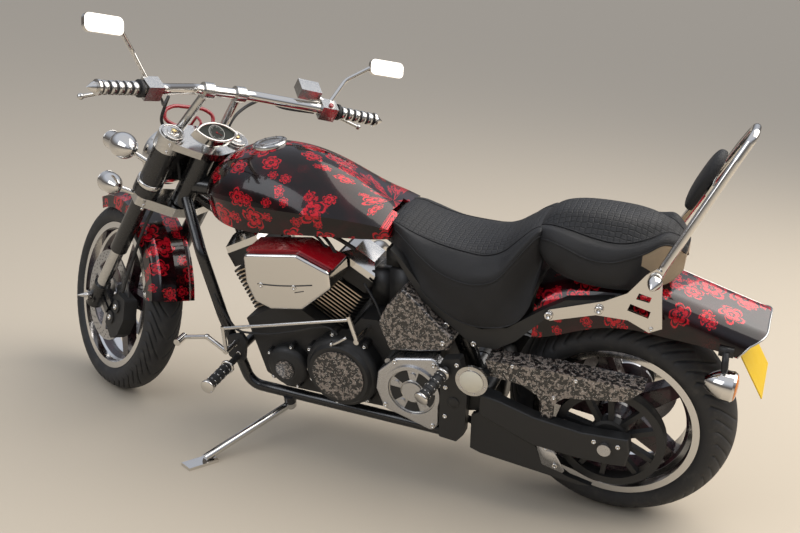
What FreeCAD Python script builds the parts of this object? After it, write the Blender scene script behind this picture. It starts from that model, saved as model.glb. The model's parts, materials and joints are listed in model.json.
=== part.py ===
import FreeCAD, Part
import math
import os
import Sketcher
from FreeCAD import Placement, Rotation, Vector

# A long cruiser motorcycle, parked and leaning on its side stand with the bars on their right stop.
# Bike frame: origin on the ground below the rear axle, X forward, Y to the rider's left, Z up,
# the machine upright with its steering straight. Fork frame: origin on the front axle,
# Z up along the fork legs, Y left. Every node is built in one of them and placed at the end.

# Driving dimensions: name, number, meaning.
SIZES = [
    ("wheelbase", 1665, "rear axle to front axle"),
    ("rake", 30, "angle of the steering axis from upright"),
    ("fork_offset", 41, "steering axis behind the line of the fork legs"),
    ("steer_lock", 36, "steering to either stop"),
    ("lean", 11, "lean to the left on the side stand"),
    ("front_radius", 312.6, "front tyre at its crown"),
    ("front_width", 120, "front tyre"),
    ("front_crown", 70, "curve of the front tread across"),
    ("front_bead", 228.6, "front rim at the bead seat"),
    ("front_rim_width", 89, "front rim between its flanges"),
    ("rear_radius", 316, "rear tyre at its crown"),
    ("rear_width", 200, "rear tyre"),
    ("rear_crown", 116, "curve of the rear tread across"),
    ("rear_bead", 215.9, "rear rim at the bead seat"),
    ("rear_rim_width", 159, "rear rim between its flanges"),
    ("tread_thickness", 11, "tyre under the tread"),
    ("sidewall", 8, "tyre wall"),
    ("rim_flange", 13, "height of a rim flange over the bead seat"),
    ("rim_wall", 6, "rim barrel"),
    ("spoke_count", 5, "spokes in each wheel"),
    ("front_hub", 42, "radius of the front hub's middle"),
    ("hub_neck", 0.7, "radius of a hub's ends over its middle"),
    ("front_axle", 10, "radius of the front axle"),
    ("rear_axle", 12, "radius of the rear axle"),
    ("stem_radius", 16, "radius of the steering stem"),
    ("stand_pin", 8, "radius of the side stand's pivot pin"),
    ("running_fit", 0.05, "radial clearance of an axle, stem or pin in its bore"),
    ("seat_gap", 0.3, "clearance between pieces that seat on each other"),
    ("leg_spread", 105, "fork leg from the middle plane"),
    ("leg_radius", 27, "outer fork tube"),
    ("stanchion_radius", 20.5, "polished inner fork tube"),
    ("outer_tube_low", 220, "lower end of the outer fork tubes, along the leg"),
    ("outer_tube_high", 700, "upper end of the outer fork tubes, along the leg"),
    ("lower_yoke_low", 440, "underside of the lower yoke, along the leg"),
    ("lower_yoke_high", 475, "top of the lower yoke"),
    ("upper_yoke_low", 656, "foot of the upper yoke's rings"),
    ("upper_plate_low", 678, "underside of the upper yoke's plate"),
    ("upper_plate_high", 702, "top of the upper yoke's plate"),
    ("upper_yoke_high", 708, "top of the upper yoke's rings"),
    ("cover_tube_radius", 36, "black covers round the fork between the yokes"),
    ("collar_high", 508, "top of the collars on the lower yoke"),
    ("lamp_radius", 84, "headlight bowl"),
    ("lamp_depth", 92, "headlight bowl behind its rim"),
    ("disc_radius", 149, "front brake discs"),
    ("disc_thickness", 5, "brake discs"),
    ("disc_place", 66, "front disc from the middle plane"),
    ("rear_disc_radius", 141, "rear brake disc"),
    ("rear_disc_place", 128, "rear disc from the middle plane"),
    ("caliper_face", 24, "outer face of the front caliper from its disc"),
    ("fender_radius", 342, "front fender outside, about the axle"),
    ("fender_half_width", 73, "front fender"),
    ("fender_wall", 3, "sheet of both fenders"),
    ("pulley_radius", 150, "rear belt pulley"),
    ("pulley_inner_place", 124, "rear pulley's inner face from the middle plane"),
    ("pulley_width", 34, "rear belt pulley"),
    ("belt_thickness", 6, "drive belt"),
    ("belt_gap", 0.8, "belt off its pulleys"),
    ("drive_pulley_radius", 58, "front belt pulley"),
    ("drive_pulley_along", 548, "front belt pulley ahead of the rear axle"),
    ("drive_pulley_height", 352, "front belt pulley over the ground"),
    ("frame_tube", 17, "radius of the cradle tubes"),
    ("cradle_half_width", 112, "cradle tubes from the middle plane"),
    ("cradle_height", 178, "lower cradle tubes over the ground"),
    ("head_tube_radius", 34, "steering head outside"),
    ("crank_along", 962, "crankshaft ahead of the rear axle"),
    ("crank_height", 300, "crankshaft over the ground"),
    ("vee_half_angle", 29, "each cylinder from upright"),
    ("deck_height", 178, "cylinder foot from the crankshaft"),
    ("fin_pitch", 12.5, "cooling fins, one to the next"),
    ("fin_count", 11, "cooling fins on a cylinder"),
    ("fin_half_width", 78, "cooling fins across"),
    ("head_inset", 8, "cylinder head's faces inside the fins' edges"),
    ("fin_thickness", 4, "a cooling fin"),
    ("cover_radius", 115, "large round engine cover"),
    ("cover_along", 783, "large round cover ahead of the rear axle"),
    ("cover_height", 337, "large round cover over the ground"),
    ("cover_reach", 190, "face of the large cover from the middle plane"),
    ("small_cover_radius", 67, "small round engine cover"),
    ("small_cover_along", 970, "small round cover ahead of the rear axle"),
    ("small_cover_height", 297, "small round cover over the ground"),
    ("crankcase_half_width", 118, "crankcase from the middle plane"),
    ("tank_tunnel_roof", 822, "roof of the tank's tunnel over the backbone"),
    ("tank_cap_along", 1073, "filler cap ahead of the rear axle"),
    ("tank_cap_radius", 45, "filler cap"),
    ("backbone_radius", 28, "backbone tube under the tank"),
    ("rail_outer", 150, "outer face of the seat rails"),
    ("seat_half_width", 162, "rider's seat"),
    ("pillion_half_width", 128, "passenger's seat"),
    ("rear_fender_half_width", 120, "rear fender"),
    ("bracket_thickness", 6, "backrest brackets"),
    ("bar_radius", 11, "backrest tube"),
    ("handlebar_radius", 15.5, "handlebar tube"),
    ("grip_radius", 18, "hand grips"),
    ("grip_length", 125, "hand grips"),
    ("swingarm_outer", 205, "outer face of the swingarm"),
    ("swingarm_inner", 170, "inner face of the swingarm"),
    ("pivot_spindle", 10, "radius of the swingarm's spindle"),
    ("swingarm_pivot_along", 425, "swingarm pivot ahead of the rear axle"),
    ("swingarm_pivot_height", 330, "swingarm pivot over the ground"),
    ("peg_length", 120, "rider's footrest"),
    ("stand_along", 985, "side stand pivot ahead of the rear axle"),
    ("stand_side", 112, "side stand pivot from the middle plane"),
    ("stand_height", 138, "side stand pivot over the ground"),
    ("stand_foot_along", 1124, "side stand's foot ahead of the rear axle"),
    ("stand_foot_side", 400, "side stand's foot from the middle plane"),
    ("stand_tube", 12, "radius of the side stand's leg"),
    ("muffler_radius", 56, "exhaust silencer"),
    ("header_radius", 22, "exhaust header pipes"),
]

doc = FreeCAD.newDocument("CruiserMotorcycle")
sheet = doc.addObject("Spreadsheet::Sheet", "Sizes")
for row, (alias, number, meaning) in enumerate(SIZES, start=1):
    sheet.set(f"A{row}", str(number))
    sheet.setAlias(f"A{row}", alias)
    sheet.set(f"B{row}", meaning)
doc.recompute()


# Sizes that remember their cells

def words(value):
    """The sheet formula of a size, or the plain number."""
    return value.text if isinstance(value, Size) else f"{float(value):.9g}"


def joined(left, sign, right, result):
    return Size(result, f"({words(left)} {sign} {words(right)})")


class Size(float):
    """A number with the sheet formula that it came from, so that a property can be bound to it."""

    def __new__(cls, number, text):
        size = super().__new__(cls, number)
        size.text = text
        return size

    def __add__(self, other):
        return joined(self, "+", other, float(self) + float(other))

    def __radd__(self, other):
        return joined(other, "+", self, float(other) + float(self))

    def __sub__(self, other):
        return joined(self, "-", other, float(self) - float(other))

    def __rsub__(self, other):
        return joined(other, "-", self, float(other) - float(self))

    def __mul__(self, other):
        return joined(self, "*", other, float(self) * float(other))

    def __rmul__(self, other):
        return joined(other, "*", self, float(other) * float(self))

    def __truediv__(self, other):
        return joined(self, "/", other, float(self) / float(other))

    def __neg__(self):
        return Size(-float(self), f"(0 - {self.text})")


def root(size):
    return Size(math.sqrt(size), f"sqrt({words(size)})")


def sine(angle):
    return Size(math.sin(math.radians(angle)), f"sin({words(angle)})")


def cosine(angle):
    return Size(math.cos(math.radians(angle)), f"cos({words(angle)})")


class Sheet:
    """Each driving dimension as an attribute."""


S = Sheet()
for alias, number, meaning in SIZES:
    setattr(S, alias, Size(sheet.get(alias), f"Sizes.{alias}"))


def bind(thing, name, value):
    if isinstance(value, Size):
        thing.setExpression(name, value.text)
    else:
        setattr(thing, name, value)


# Sketches and features

UP = Vector(0, 0, 1)
LEFT = Vector(0, 1, 0)


def new_body(name):
    return doc.addObject("PartDesign::Body", name)


def origin_piece(body, role):
    return [piece for piece in body.Origin.OriginFeatures if piece.Role == role][0]


def new_sketch(body, plane, depth):
    """A sketch on an origin plane, moved along the plane's normal by depth."""
    sketch = body.newObject("Sketcher::SketchObject", f"{body.Name}_sketch")
    sketch.AttachmentSupport = [(origin_piece(body, plane), "")]
    sketch.MapMode = "FlatFace"
    if isinstance(depth, Size):
        sketch.setExpression("AttachmentOffset.Base.z", depth.text)
    else:
        sketch.AttachmentOffset = Placement(Vector(0, 0, depth), Rotation())
    return sketch


def arc_between(start, end, radius):
    """The shorter arc; a positive radius turns left on the way, a negative one turns right."""
    along = end - start
    half = along.Length / 2
    side = math.sqrt(max(radius * radius - half * half, 0)) * (1 if radius > 0 else -1)
    centre = (start + end) / 2 + Vector(-along.y, along.x, 0).normalize() * side
    first, last = (start, end) if radius > 0 else (end, start)
    angles = [math.atan2(p.y - centre.y, p.x - centre.x) for p in (first, last)]
    return Part.ArcOfCircle(Part.Circle(centre, UP, abs(radius)), *angles)


def outline(body, plane, depth, points):
    """A closed outline. Each point is (across, up) or (across, up, radius of the arc to it)."""
    sketch = new_sketch(body, plane, depth)
    add_outline(sketch, points)
    return sketch


def add_outline(sketch, points):
    first = sketch.GeometryCount
    count = len(points)
    places = [Vector(float(point[0]), float(point[1]), 0) for point in points]
    starts, ends, radii = {}, {}, []
    for index in range(count):
        following = (index + 1) % count
        edge = first + index
        radius = points[following][2] if len(points[following]) > 2 else None
        if radius is None:
            sketch.addGeometry(Part.LineSegment(places[index], places[following]))
        else:
            sketch.addGeometry(arc_between(places[index], places[following], float(radius)))
            radii.append((edge, radius))
        forward = radius is None or radius > 0
        starts[index] = (edge, 1 if forward else 2)
        ends[following] = (edge, 2 if forward else 1)
    for index in range(count):
        sketch.addConstraint(Sketcher.Constraint("Coincident", *ends[index], *starts[index]))
        for kind, value in zip(("DistanceX", "DistanceY"), points[index]):
            number = sketch.addConstraint(
                Sketcher.Constraint(kind, -1, 1, *starts[index], float(value)))
            if isinstance(value, Size):
                sketch.setExpression(f"Constraints[{number}]", value.text)
    for edge, radius in radii:
        number = sketch.addConstraint(Sketcher.Constraint("Radius", edge, abs(float(radius))))
        if isinstance(radius, Size):
            size = radius if radius > 0 else -radius
            sketch.setExpression(f"Constraints[{number}]", size.text)


def add_circle(sketch, across, up, radius):
    edge = sketch.GeometryCount
    centre = Vector(float(across), float(up), 0)
    sketch.addGeometry(Part.Circle(centre, UP, float(radius)))
    rows = [("DistanceX", (-1, 1, edge, 3), across), ("DistanceY", (-1, 1, edge, 3), up),
            ("Radius", (edge,), radius)]
    for kind, where, value in rows:
        number = sketch.addConstraint(Sketcher.Constraint(kind, *where, float(value)))
        if isinstance(value, Size):
            sketch.setExpression(f"Constraints[{number}]", value.text)


def circle(body, plane, depth, across, up, radius):
    sketch = new_sketch(body, plane, depth)
    add_circle(sketch, across, up, radius)
    return sketch


def pad(body, sketch, length):
    feature = body.newObject("PartDesign::Pad", f"{body.Name}_pad")
    feature.Profile = sketch
    bind(feature, "Length", length)
    return feature


def pocket(body, sketch, length):
    feature = body.newObject("PartDesign::Pocket", f"{body.Name}_pocket")
    feature.Profile = sketch
    bind(feature, "Length", length)
    return feature


def turned(body, sketch, axis="V_Axis", angle=360, cut=False):
    kind = "PartDesign::Groove" if cut else "PartDesign::Revolution"
    feature = body.newObject(kind, f"{body.Name}_turned")
    feature.Profile = sketch
    feature.ReferenceAxis = (sketch, [axis])
    bind(feature, "Angle", angle)
    return feature


def side_pad(body, low, high, points):
    """A side outline (along X, up Z) padded from y = low to y = high."""
    return pad(body, outline(body, "XZ_Plane", -high, points), high - low)


def side_pocket(body, low, high, points):
    return pocket(body, outline(body, "XZ_Plane", -low, points), high - low)


def side_disc(body, low, high, along, up, radius):
    return pad(body, circle(body, "XZ_Plane", -high, along, up, radius), high - low)


def side_hole(body, low, high, along, up, radius):
    return pocket(body, circle(body, "XZ_Plane", -low, along, up, radius), high - low)


def loft(body, sketches, cut=False):
    kind = "PartDesign::SubtractiveLoft" if cut else "PartDesign::AdditiveLoft"
    feature = body.newObject(kind, f"{body.Name}_loft")
    feature.Profile = sketches[0]
    feature.Sections = sketches[1:]
    return feature


def around(body, feature, axis, count):
    pattern = body.newObject("PartDesign::PolarPattern", f"{body.Name}_around")
    pattern.Originals = feature if isinstance(feature, list) else [feature]
    pattern.Axis = (origin_piece(body, axis), [""])
    bind(pattern, "Occurrences", count)
    body.Tip = pattern
    return pattern


def in_line(body, feature, axis, length, count):
    pattern = body.newObject("PartDesign::LinearPattern", f"{body.Name}_in_line")
    pattern.Originals = [feature]
    pattern.Direction = (origin_piece(body, axis), [""])
    bind(pattern, "Length", length)
    bind(pattern, "Occurrences", count)
    body.Tip = pattern
    return pattern


def rounded(body, radius, chosen):
    """Rounds the body's edges for which chosen(edge) holds."""
    doc.recompute()
    base = body.Tip
    names = [f"Edge{number}" for number, edge in enumerate(base.Shape.Edges, start=1)
             if chosen(edge)]
    feature = body.newObject("PartDesign::Fillet", f"{body.Name}_rounded")
    feature.Base = (base, names)
    bind(feature, "Radius", radius)
    return feature


def straight_along(direction):
    """Picks straight edges parallel to a direction."""
    def chosen(edge):
        if edge.Curve.TypeId != "Part::GeomLine":
            return False
        return abs(edge.Curve.Direction.dot(direction)) > 0.999
    return chosen


def lying_at(axis, place):
    """Picks edges that lie in the plane where X, Y or Z has one value."""
    def chosen(edge):
        box = edge.BoundBox
        low, high = getattr(box, f"{axis}Min"), getattr(box, f"{axis}Max")
        return abs(low - place) < 0.01 and abs(high - place) < 0.01
    return chosen


def both(first, second):
    return lambda edge: first(edge) and second(edge)


# Primitives, tubes and groups

def placed_along(base, direction):
    return Placement(base, Rotation(UP, direction))


def cylinder(name, radius, length, base, direction=UP):
    thing = doc.addObject("Part::Cylinder", name)
    bind(thing, "Radius", radius)
    bind(thing, "Height", length)
    thing.Placement = placed_along(base, direction)
    return thing


def cone(name, radius, tip_radius, length, base, direction=UP):
    thing = doc.addObject("Part::Cone", name)
    bind(thing, "Radius1", radius)
    bind(thing, "Radius2", tip_radius)
    bind(thing, "Height", length)
    thing.Placement = placed_along(base, direction)
    return thing


def ball(name, radius, centre):
    thing = doc.addObject("Part::Sphere", name)
    bind(thing, "Radius", radius)
    thing.Placement = Placement(centre, Rotation())
    return thing


def rod(name, start, end, radius):
    """A round bar from one point to another."""
    return cylinder(name, radius, (end - start).Length, start, end - start)


def block(name, length, width, height, centre, turn=Rotation()):
    thing = doc.addObject("Part::Box", name)
    bind(thing, "Length", length)
    bind(thing, "Width", width)
    bind(thing, "Height", height)
    corner = Vector(-length / 2, -width / 2, -height / 2)
    thing.Placement = Placement(centre + turn.multVec(corner), turn)
    return thing


def route(points, bend=None):
    """Straight runs joined by tangent arcs; with no bend, as large as the runs allow."""
    corners = []
    for before, corner, after in zip(points, points[1:], points[2:]):
        back, ahead = before - corner, after - corner
        half_turn = (math.pi - back.getAngle(ahead)) / 2
        radius = bend
        if radius is None:
            radius = 0.45 * min(back.Length, ahead.Length) / math.tan(half_turn)
        reach = radius * math.tan(half_turn)
        middle = (back.normalize() + ahead.normalize()).normalize()
        near = corner + middle * (radius / math.cos(half_turn) - radius)
        corners.append((corner + back * reach, near, corner + ahead * reach))
    edges = []
    place = points[0]
    for entry, near, leave in corners:
        edges.append(Part.LineSegment(place, entry).toShape())
        edges.append(Part.Arc(entry, near, leave).toShape())
        place = leave
    edges.append(Part.LineSegment(place, points[-1]).toShape())
    return Part.Wire(edges)


def tube(name, points, radius, bend=None):
    """A round bar bent along a route."""
    path = doc.addObject("Part::Feature", f"{name}_route")
    path.Shape = route(points, bend)
    ring = doc.addObject("Part::Circle", f"{name}_ring")
    bind(ring, "Radius", radius)
    ring.Placement = placed_along(points[0], points[1] - points[0])
    sweep = doc.addObject("Part::Sweep", name)
    sweep.Sections = [ring]
    sweep.Spine = (path, [f"Edge{number + 1}" for number in range(len(path.Shape.Edges))])
    sweep.Solid = True
    return sweep


def fused(name, pieces):
    thing = doc.addObject("Part::MultiFuse", name)
    thing.Shapes = pieces
    return thing


def cut(name, base, tool):
    thing = doc.addObject("Part::Cut", name)
    thing.Base = base
    thing.Tool = tool
    return thing


def mirrored(name, source):
    thing = doc.addObject("Part::Mirroring", name)
    thing.Source = source
    thing.Normal = LEFT
    return thing


def group(name, pieces):
    """Several solids that don't touch, in one node."""
    thing = doc.addObject("Part::Compound", name)
    thing.Links = pieces
    return thing


def pair(name, piece):
    return group(name, [piece, mirrored(f"{name}_right", piece)])


def opposite(point):
    return Vector(point.x, -point.y, point.z)


nodes = []


def node(name, frame, thing):
    """Registers a sub-part, the frame that it was built in and its own place there."""
    thing.Label = name
    nodes.append((name, frame, thing, Placement(thing.Placement)))
    return thing


# Where the fork frame stands

def fork_point(across, side, up):
    """A point of the unsteered fork frame in the bike frame."""
    tilt = math.radians(S.rake)
    return Vector(S.wheelbase + across * math.cos(tilt) - up * math.sin(tilt), side,
                  S.front_radius + across * math.sin(tilt) + up * math.cos(tilt))


fork_frame = Placement(Vector(S.wheelbase, 0, S.front_radius), Rotation(LEFT, -S.rake))
steer_base = fork_point(-S.fork_offset, 0, 0)
steer_axis = fork_frame.Rotation.multVec(UP)


def steered(angle):
    """The steering's turn about its axis in the bike frame, positive to the left."""
    return Placement(Vector(), Rotation(steer_axis, angle), steer_base)


def tyre_contact(centre, spin_axis, radius, crown):
    """The lowest point of a tyre whose crown is an arc carried round its axis."""
    down = Vector(0, 0, -1)
    outward = (down - spin_axis * down.dot(spin_axis)).normalize()
    return centre + outward * (radius - crown) + down * crown


def contacts(turn):
    """Both tyres' lowest points after a turn of the parked machine."""
    rear = tyre_contact(turn.multVec(Vector(0, 0, S.rear_radius)), turn.multVec(LEFT),
                        S.rear_radius, S.rear_crown)
    steer = steered(-S.steer_lock)
    front_centre = turn.multVec(steer.multVec(Vector(S.wheelbase, 0, S.front_radius)))
    front_axis = turn.multVec(steer.Rotation.multVec(LEFT))
    front = tyre_contact(front_centre, front_axis, S.front_radius, S.front_crown)
    return rear, front


def parked_turn():
    """The lean, with the small pitch that sets both tyres on one floor."""
    low, high = -3.0, 3.0
    for attempt in range(40):
        pitch = (low + high) / 2
        turn = Rotation(LEFT, pitch).multiply(Rotation(Vector(1, 0, 0), -S.lean))
        rear, front = contacts(turn)
        if front.z > rear.z:
            low = pitch
        else:
            high = pitch
    return turn


ride_turn = parked_turn()
floor_normal = ride_turn.inverted().multVec(UP)
floor_point = ride_turn.inverted().multVec(contacts(ride_turn)[0])


def floor_height(along, side):
    """Height of the parked machine's floor in the bike frame."""
    away = Vector(along, side, 0) - Vector(floor_point.x, floor_point.y, 0)
    return floor_point.z - (away.x * floor_normal.x + away.y * floor_normal.y) / floor_normal.z


# Wheels, turned about Y at their own centres

def tyre(name, radius, width, crown, bead, rim_width):
    body = new_body(name)
    edge = width / 2 * 0.87
    wall_low = rim_width / 2
    crown_centre = radius - crown
    shoulder = crown_centre + root(crown * crown - edge * edge)
    inner_crown = crown - S.tread_thickness
    inner_edge = edge - S.sidewall
    inner_shoulder = crown_centre + root(inner_crown * inner_crown - inner_edge * inner_edge)
    bead_top = bead + S.rim_flange + 1
    outer_bulge = (shoulder - bead_top) * 0.66
    inner_bulge = (inner_shoulder - bead_top) * 0.75
    body_outline = [
        (bead, wall_low - S.seat_gap), (bead_top, wall_low - S.seat_gap),
        (shoulder, edge, -outer_bulge), (shoulder, -edge, -crown),
        (bead_top, -wall_low + S.seat_gap, -outer_bulge), (bead, -wall_low + S.seat_gap),
        (bead, -wall_low + S.sidewall), (bead_top, -wall_low + S.sidewall),
        (inner_shoulder, -inner_edge, inner_bulge), (inner_shoulder, inner_edge, inner_crown),
        (bead_top, wall_low - S.sidewall, inner_bulge), (bead, wall_low - S.sidewall),
    ]
    turned(body, outline(body, "XY_Plane", 0, body_outline))
    return body


def rim(name, bead, rim_width, hub_radius, hub_half, axle, spoke_root, spoke_tip, spoke_half):
    """Barrel with flanges and a drop centre, a hub and the spokes between them."""
    body = new_body(name)
    half = rim_width / 2
    lip = half + 6
    well = bead - 22
    barrel = [
        (bead - S.seat_gap, half), (bead + S.rim_flange, half), (bead + S.rim_flange, lip),
        (bead - S.rim_wall, lip), (bead - S.rim_wall - 2, half - 20), (well - S.rim_wall, half - 38),
        (well - S.rim_wall, -half + 38), (bead - S.rim_wall - 2, -half + 20),
        (bead - S.rim_wall, -lip), (bead + S.rim_flange, -lip), (bead + S.rim_flange, -half),
        (bead - S.seat_gap, -half), (bead - S.seat_gap, -half + 17), (well, -half + 34),
        (well, half - 34), (bead - S.seat_gap, half - 17),
    ]
    turned(body, outline(body, "XY_Plane", 0, barrel))
    reach = well - S.rim_wall / 2
    spoke = side_pad(body, -spoke_half, spoke_half, [
        (hub_radius * 0.6, -spoke_root), (reach, -spoke_tip), (reach, spoke_tip),
        (hub_radius * 0.6, spoke_root)])
    around(body, spoke, "Y_Axis", S.spoke_count)
    neck = hub_radius * S.hub_neck
    hub = [(axle + S.running_fit, hub_half), (neck, hub_half), (neck, hub_half * 0.76),
           (hub_radius, hub_half * 0.55), (hub_radius, -hub_half * 0.55),
           (neck, -hub_half * 0.76), (neck, -hub_half), (axle + S.running_fit, -hub_half)]
    turned(body, outline(body, "XY_Plane", 0, hub))
    bore = [(0, hub_half + 1), (axle + S.running_fit, hub_half + 1),
            (axle + S.running_fit, -hub_half - 1), (0, -hub_half - 1)]
    turned(body, outline(body, "XY_Plane", 0, bore), cut=True)
    return body


def brake_disc(name, radius, low, high, carrier_radius, carrier_low, carrier_high, inner):
    """A drilled-looking ring on a stepped carrier; low to high is its place along the axle."""
    body = new_body(name)
    ring = [(radius - 34, high), (radius, high), (radius, low), (radius - 34, low)]
    turned(body, outline(body, "XY_Plane", 0, ring))
    carrier = [(inner, carrier_high), (carrier_radius, carrier_high), (carrier_radius, carrier_low),
               (inner, carrier_low)]
    turned(body, outline(body, "XY_Plane", 0, carrier))
    arm = side_pad(body, low, high, [(carrier_radius - 8, -9), (radius - 30, -16),
                                     (radius - 30, 16), (carrier_radius - 8, 9)])
    around(body, arm, "Y_Axis", 6)
    return body


def build_wheels():
    node("front_tyre", "front_wheel",
         tyre("FrontTyre", S.front_radius, S.front_width, S.front_crown, S.front_bead,
              S.front_rim_width))
    hub_half = S.leg_spread - S.leg_radius - 6
    node("front_rim", "front_wheel",
         rim("FrontRim", S.front_bead, S.front_rim_width, S.front_hub, hub_half, S.front_axle,
             30, 17, 16))
    place = S.disc_place
    left = brake_disc("FrontDisc", S.disc_radius, place - S.disc_thickness / 2,
                      place + S.disc_thickness / 2, 66, place - 4, place + 4,
                      S.front_hub * S.hub_neck + S.seat_gap)
    node("front_discs", "front_wheel", pair("FrontDiscs", left))
    node("rear_tyre", "rear_wheel",
         tyre("RearTyre", S.rear_radius, S.rear_width, S.rear_crown, S.rear_bead,
              S.rear_rim_width))
    rear_hub = S.pulley_inner_place - 0.5
    node("rear_rim", "rear_wheel",
         rim("RearRim", S.rear_bead, S.rear_rim_width, 58, rear_hub, S.rear_axle, 34, 20, 24))
    place = S.rear_disc_place
    node("rear_disc", "rear_wheel",
         brake_disc("RearDisc", S.rear_disc_radius, -place - S.disc_thickness / 2,
                    -place + S.disc_thickness / 2, 70, -place - 4, -rear_hub - S.seat_gap,
                    S.rear_axle + S.running_fit))
    node("rear_pulley", "rear_wheel", rear_pulley())


def rear_pulley():
    """Belt pulley with a flange each side and five pairs of spokes."""
    body = new_body("RearPulley")
    low = S.pulley_inner_place
    high = low + S.pulley_width
    face = S.pulley_radius - S.belt_thickness
    rim_outline = [(S.pulley_radius - 22, low), (S.pulley_radius, low), (S.pulley_radius, low + 3),
                   (face, low + 3), (face, high - 3), (S.pulley_radius, high - 3),
                   (S.pulley_radius, high), (S.pulley_radius - 22, high)]
    turned(body, outline(body, "XY_Plane", 0, rim_outline))
    hub = [(S.rear_axle + S.running_fit, low), (54, low), (54, high - 4), (46, high),
           (S.rear_axle + S.running_fit, high)]
    turned(body, outline(body, "XY_Plane", 0, hub))
    upper = side_pad(body, low + 6, high - 6, [
        (44, 8), (S.pulley_radius - 14, 28), (S.pulley_radius - 14, 42), (44, 22)])
    lower = side_pad(body, low + 6, high - 6, [
        (44, -22), (S.pulley_radius - 14, -42), (S.pulley_radius - 14, -28), (44, -8)])
    around(body, [upper, lower], "Y_Axis", S.spoke_count)
    return body


# Fork group, in the fork frame

def leg(side, up, across=0):
    return Vector(across, side, up)


def build_fork():
    legs = [outer_tube(), axle_clamp()]
    node("fork_legs", "fork", group("ForkLegs", legs + [fork_panel()] + [
        mirrored(f"{leg_piece.Name}Right", leg_piece) for leg_piece in legs]))
    node("front_axle", "fork", front_axle())
    node("fork_stanchions", "fork", pair("Stanchions", stanchion()))
    lower = yoke("LowerYoke", S.lower_yoke_low, S.lower_yoke_high, 14, 40)
    node("yokes", "fork", group("Yokes", [lower, upper_yoke()]))
    node("front_fender", "fork", front_fender())
    node("front_calipers", "fork", pair("FrontCalipers", front_caliper()))
    node("headlight", "fork", headlight())
    node("headlight_lens", "fork", headlight_lens())
    side = S.leg_spread
    cover_seat = cylinder("AuxiliarySeat", S.cover_tube_radius + S.seat_gap, 80, leg(side, 537))
    yoke_seat = block("SignalSeat", 100, 60, 60, leg(side + 32 + S.seat_gap - 30, 455))
    lamps = [side_lamp("Auxiliary", 146, 28, 85, 577, cover_seat),
             side_lamp("Signal", 78, 32, 44, 455, yoke_seat)]
    node("front_lamps", "fork", group("FrontLamps", lamps + [
        mirrored(f"{lamp.Name}Right", lamp) for lamp in lamps]))
    node("clock", "fork", clock())
    node("visor_ring", "fork", visor_ring())
    tip = grip_end()
    node("handlebar", "fork", group("Handlebar", [handlebar(), tip, mirrored("GripEndRight", tip)]))
    node("grips", "fork", pair("Grips", grip()))
    node("bar_controls", "fork", bar_controls())
    node("mirrors", "fork", pair("Mirrors", mirror()))


def fork_forward():
    """The way the machine faces, in the fork frame."""
    return fork_frame.Rotation.inverted().multVec(Vector(1, 0, 0))


def stanchion():
    side = S.leg_spread
    return cylinder("StanchionLeft", S.stanchion_radius, S.outer_tube_low - 58, leg(side, 58))


def outer_tube():
    """The leg's outer tube, its collar and cover between the yokes, and a boss for the fender."""
    side = S.leg_spread
    shell = cylinder("OuterTube", S.leg_radius, S.outer_tube_high - S.outer_tube_low,
                     leg(side, S.outer_tube_low))
    foot = S.lower_yoke_high + S.seat_gap
    collar = cylinder("ForkCollar", S.cover_tube_radius + 5, S.collar_high - foot, leg(side, foot))
    cover = cylinder("ForkCover", S.cover_tube_radius, S.upper_yoke_low - S.seat_gap - S.collar_high,
                     leg(side, S.collar_high))
    inner = S.fender_half_width + S.seat_gap
    boss = cylinder("FenderBoss", 13, side - inner, leg(inner, 312), LEFT)
    return fused("OuterTubeLeft", [shell, collar, cover, boss])


def fork_panel():
    """Black panel between the covers, which carries the headlight."""
    side = S.leg_spread
    thick, low, high = 8, S.collar_high + 20, S.upper_yoke_low - 12
    panel = block("ForkPanel", thick, 2 * side, high - low, Vector(thick / 2, 0, (low + high) / 2))
    rooms = [cylinder(f"PanelRoom{name}", S.cover_tube_radius + S.seat_gap, high - low + 20,
                      leg(place, low - 10)) for name, place in (("Left", side), ("Right", -side))]
    return cut("ForkPanelTrimmed", cut("ForkPanelCut", panel, rooms[0]), rooms[1])


def axle_clamp():
    side = S.leg_spread
    face = S.disc_place + S.caliper_face + S.seat_gap
    foot = fused("AxleClampLeft", [
        cylinder("ClampLeg", S.leg_radius, 92, leg(side, -34)),
        cylinder("ClampEye", S.leg_radius - 3, 40, Vector(0, side - 20, 0), LEFT),
        block("ClampLugLow", 70, 12, 22, Vector(-45, face + 6, 14)),
        block("ClampLugHigh", 74, 12, 20, Vector(-47, face + 6, 47))])
    return cut("AxleClampBored", foot,
               cylinder("ClampBore", S.front_axle, 80, Vector(0, side - 40, 0), LEFT))


def front_axle():
    """Axle rod with a nut and a long pointed cap at each end."""
    seat = S.leg_spread + S.leg_radius
    pieces = [cylinder("FrontAxleRod", S.front_axle, 2 * seat, Vector(0, -seat, 0), LEFT)]
    for name, way in (("Left", 1), ("Right", -1)):
        pieces.append(cylinder(f"AxleNut{name}", 17, 12, Vector(0, way * seat, 0), LEFT * way))
        pieces.append(cone(f"AxlePoint{name}", 9, 1, 30, Vector(0, way * (seat + 12), 0), LEFT * way))
    return fused("FrontAxle", pieces)


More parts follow.
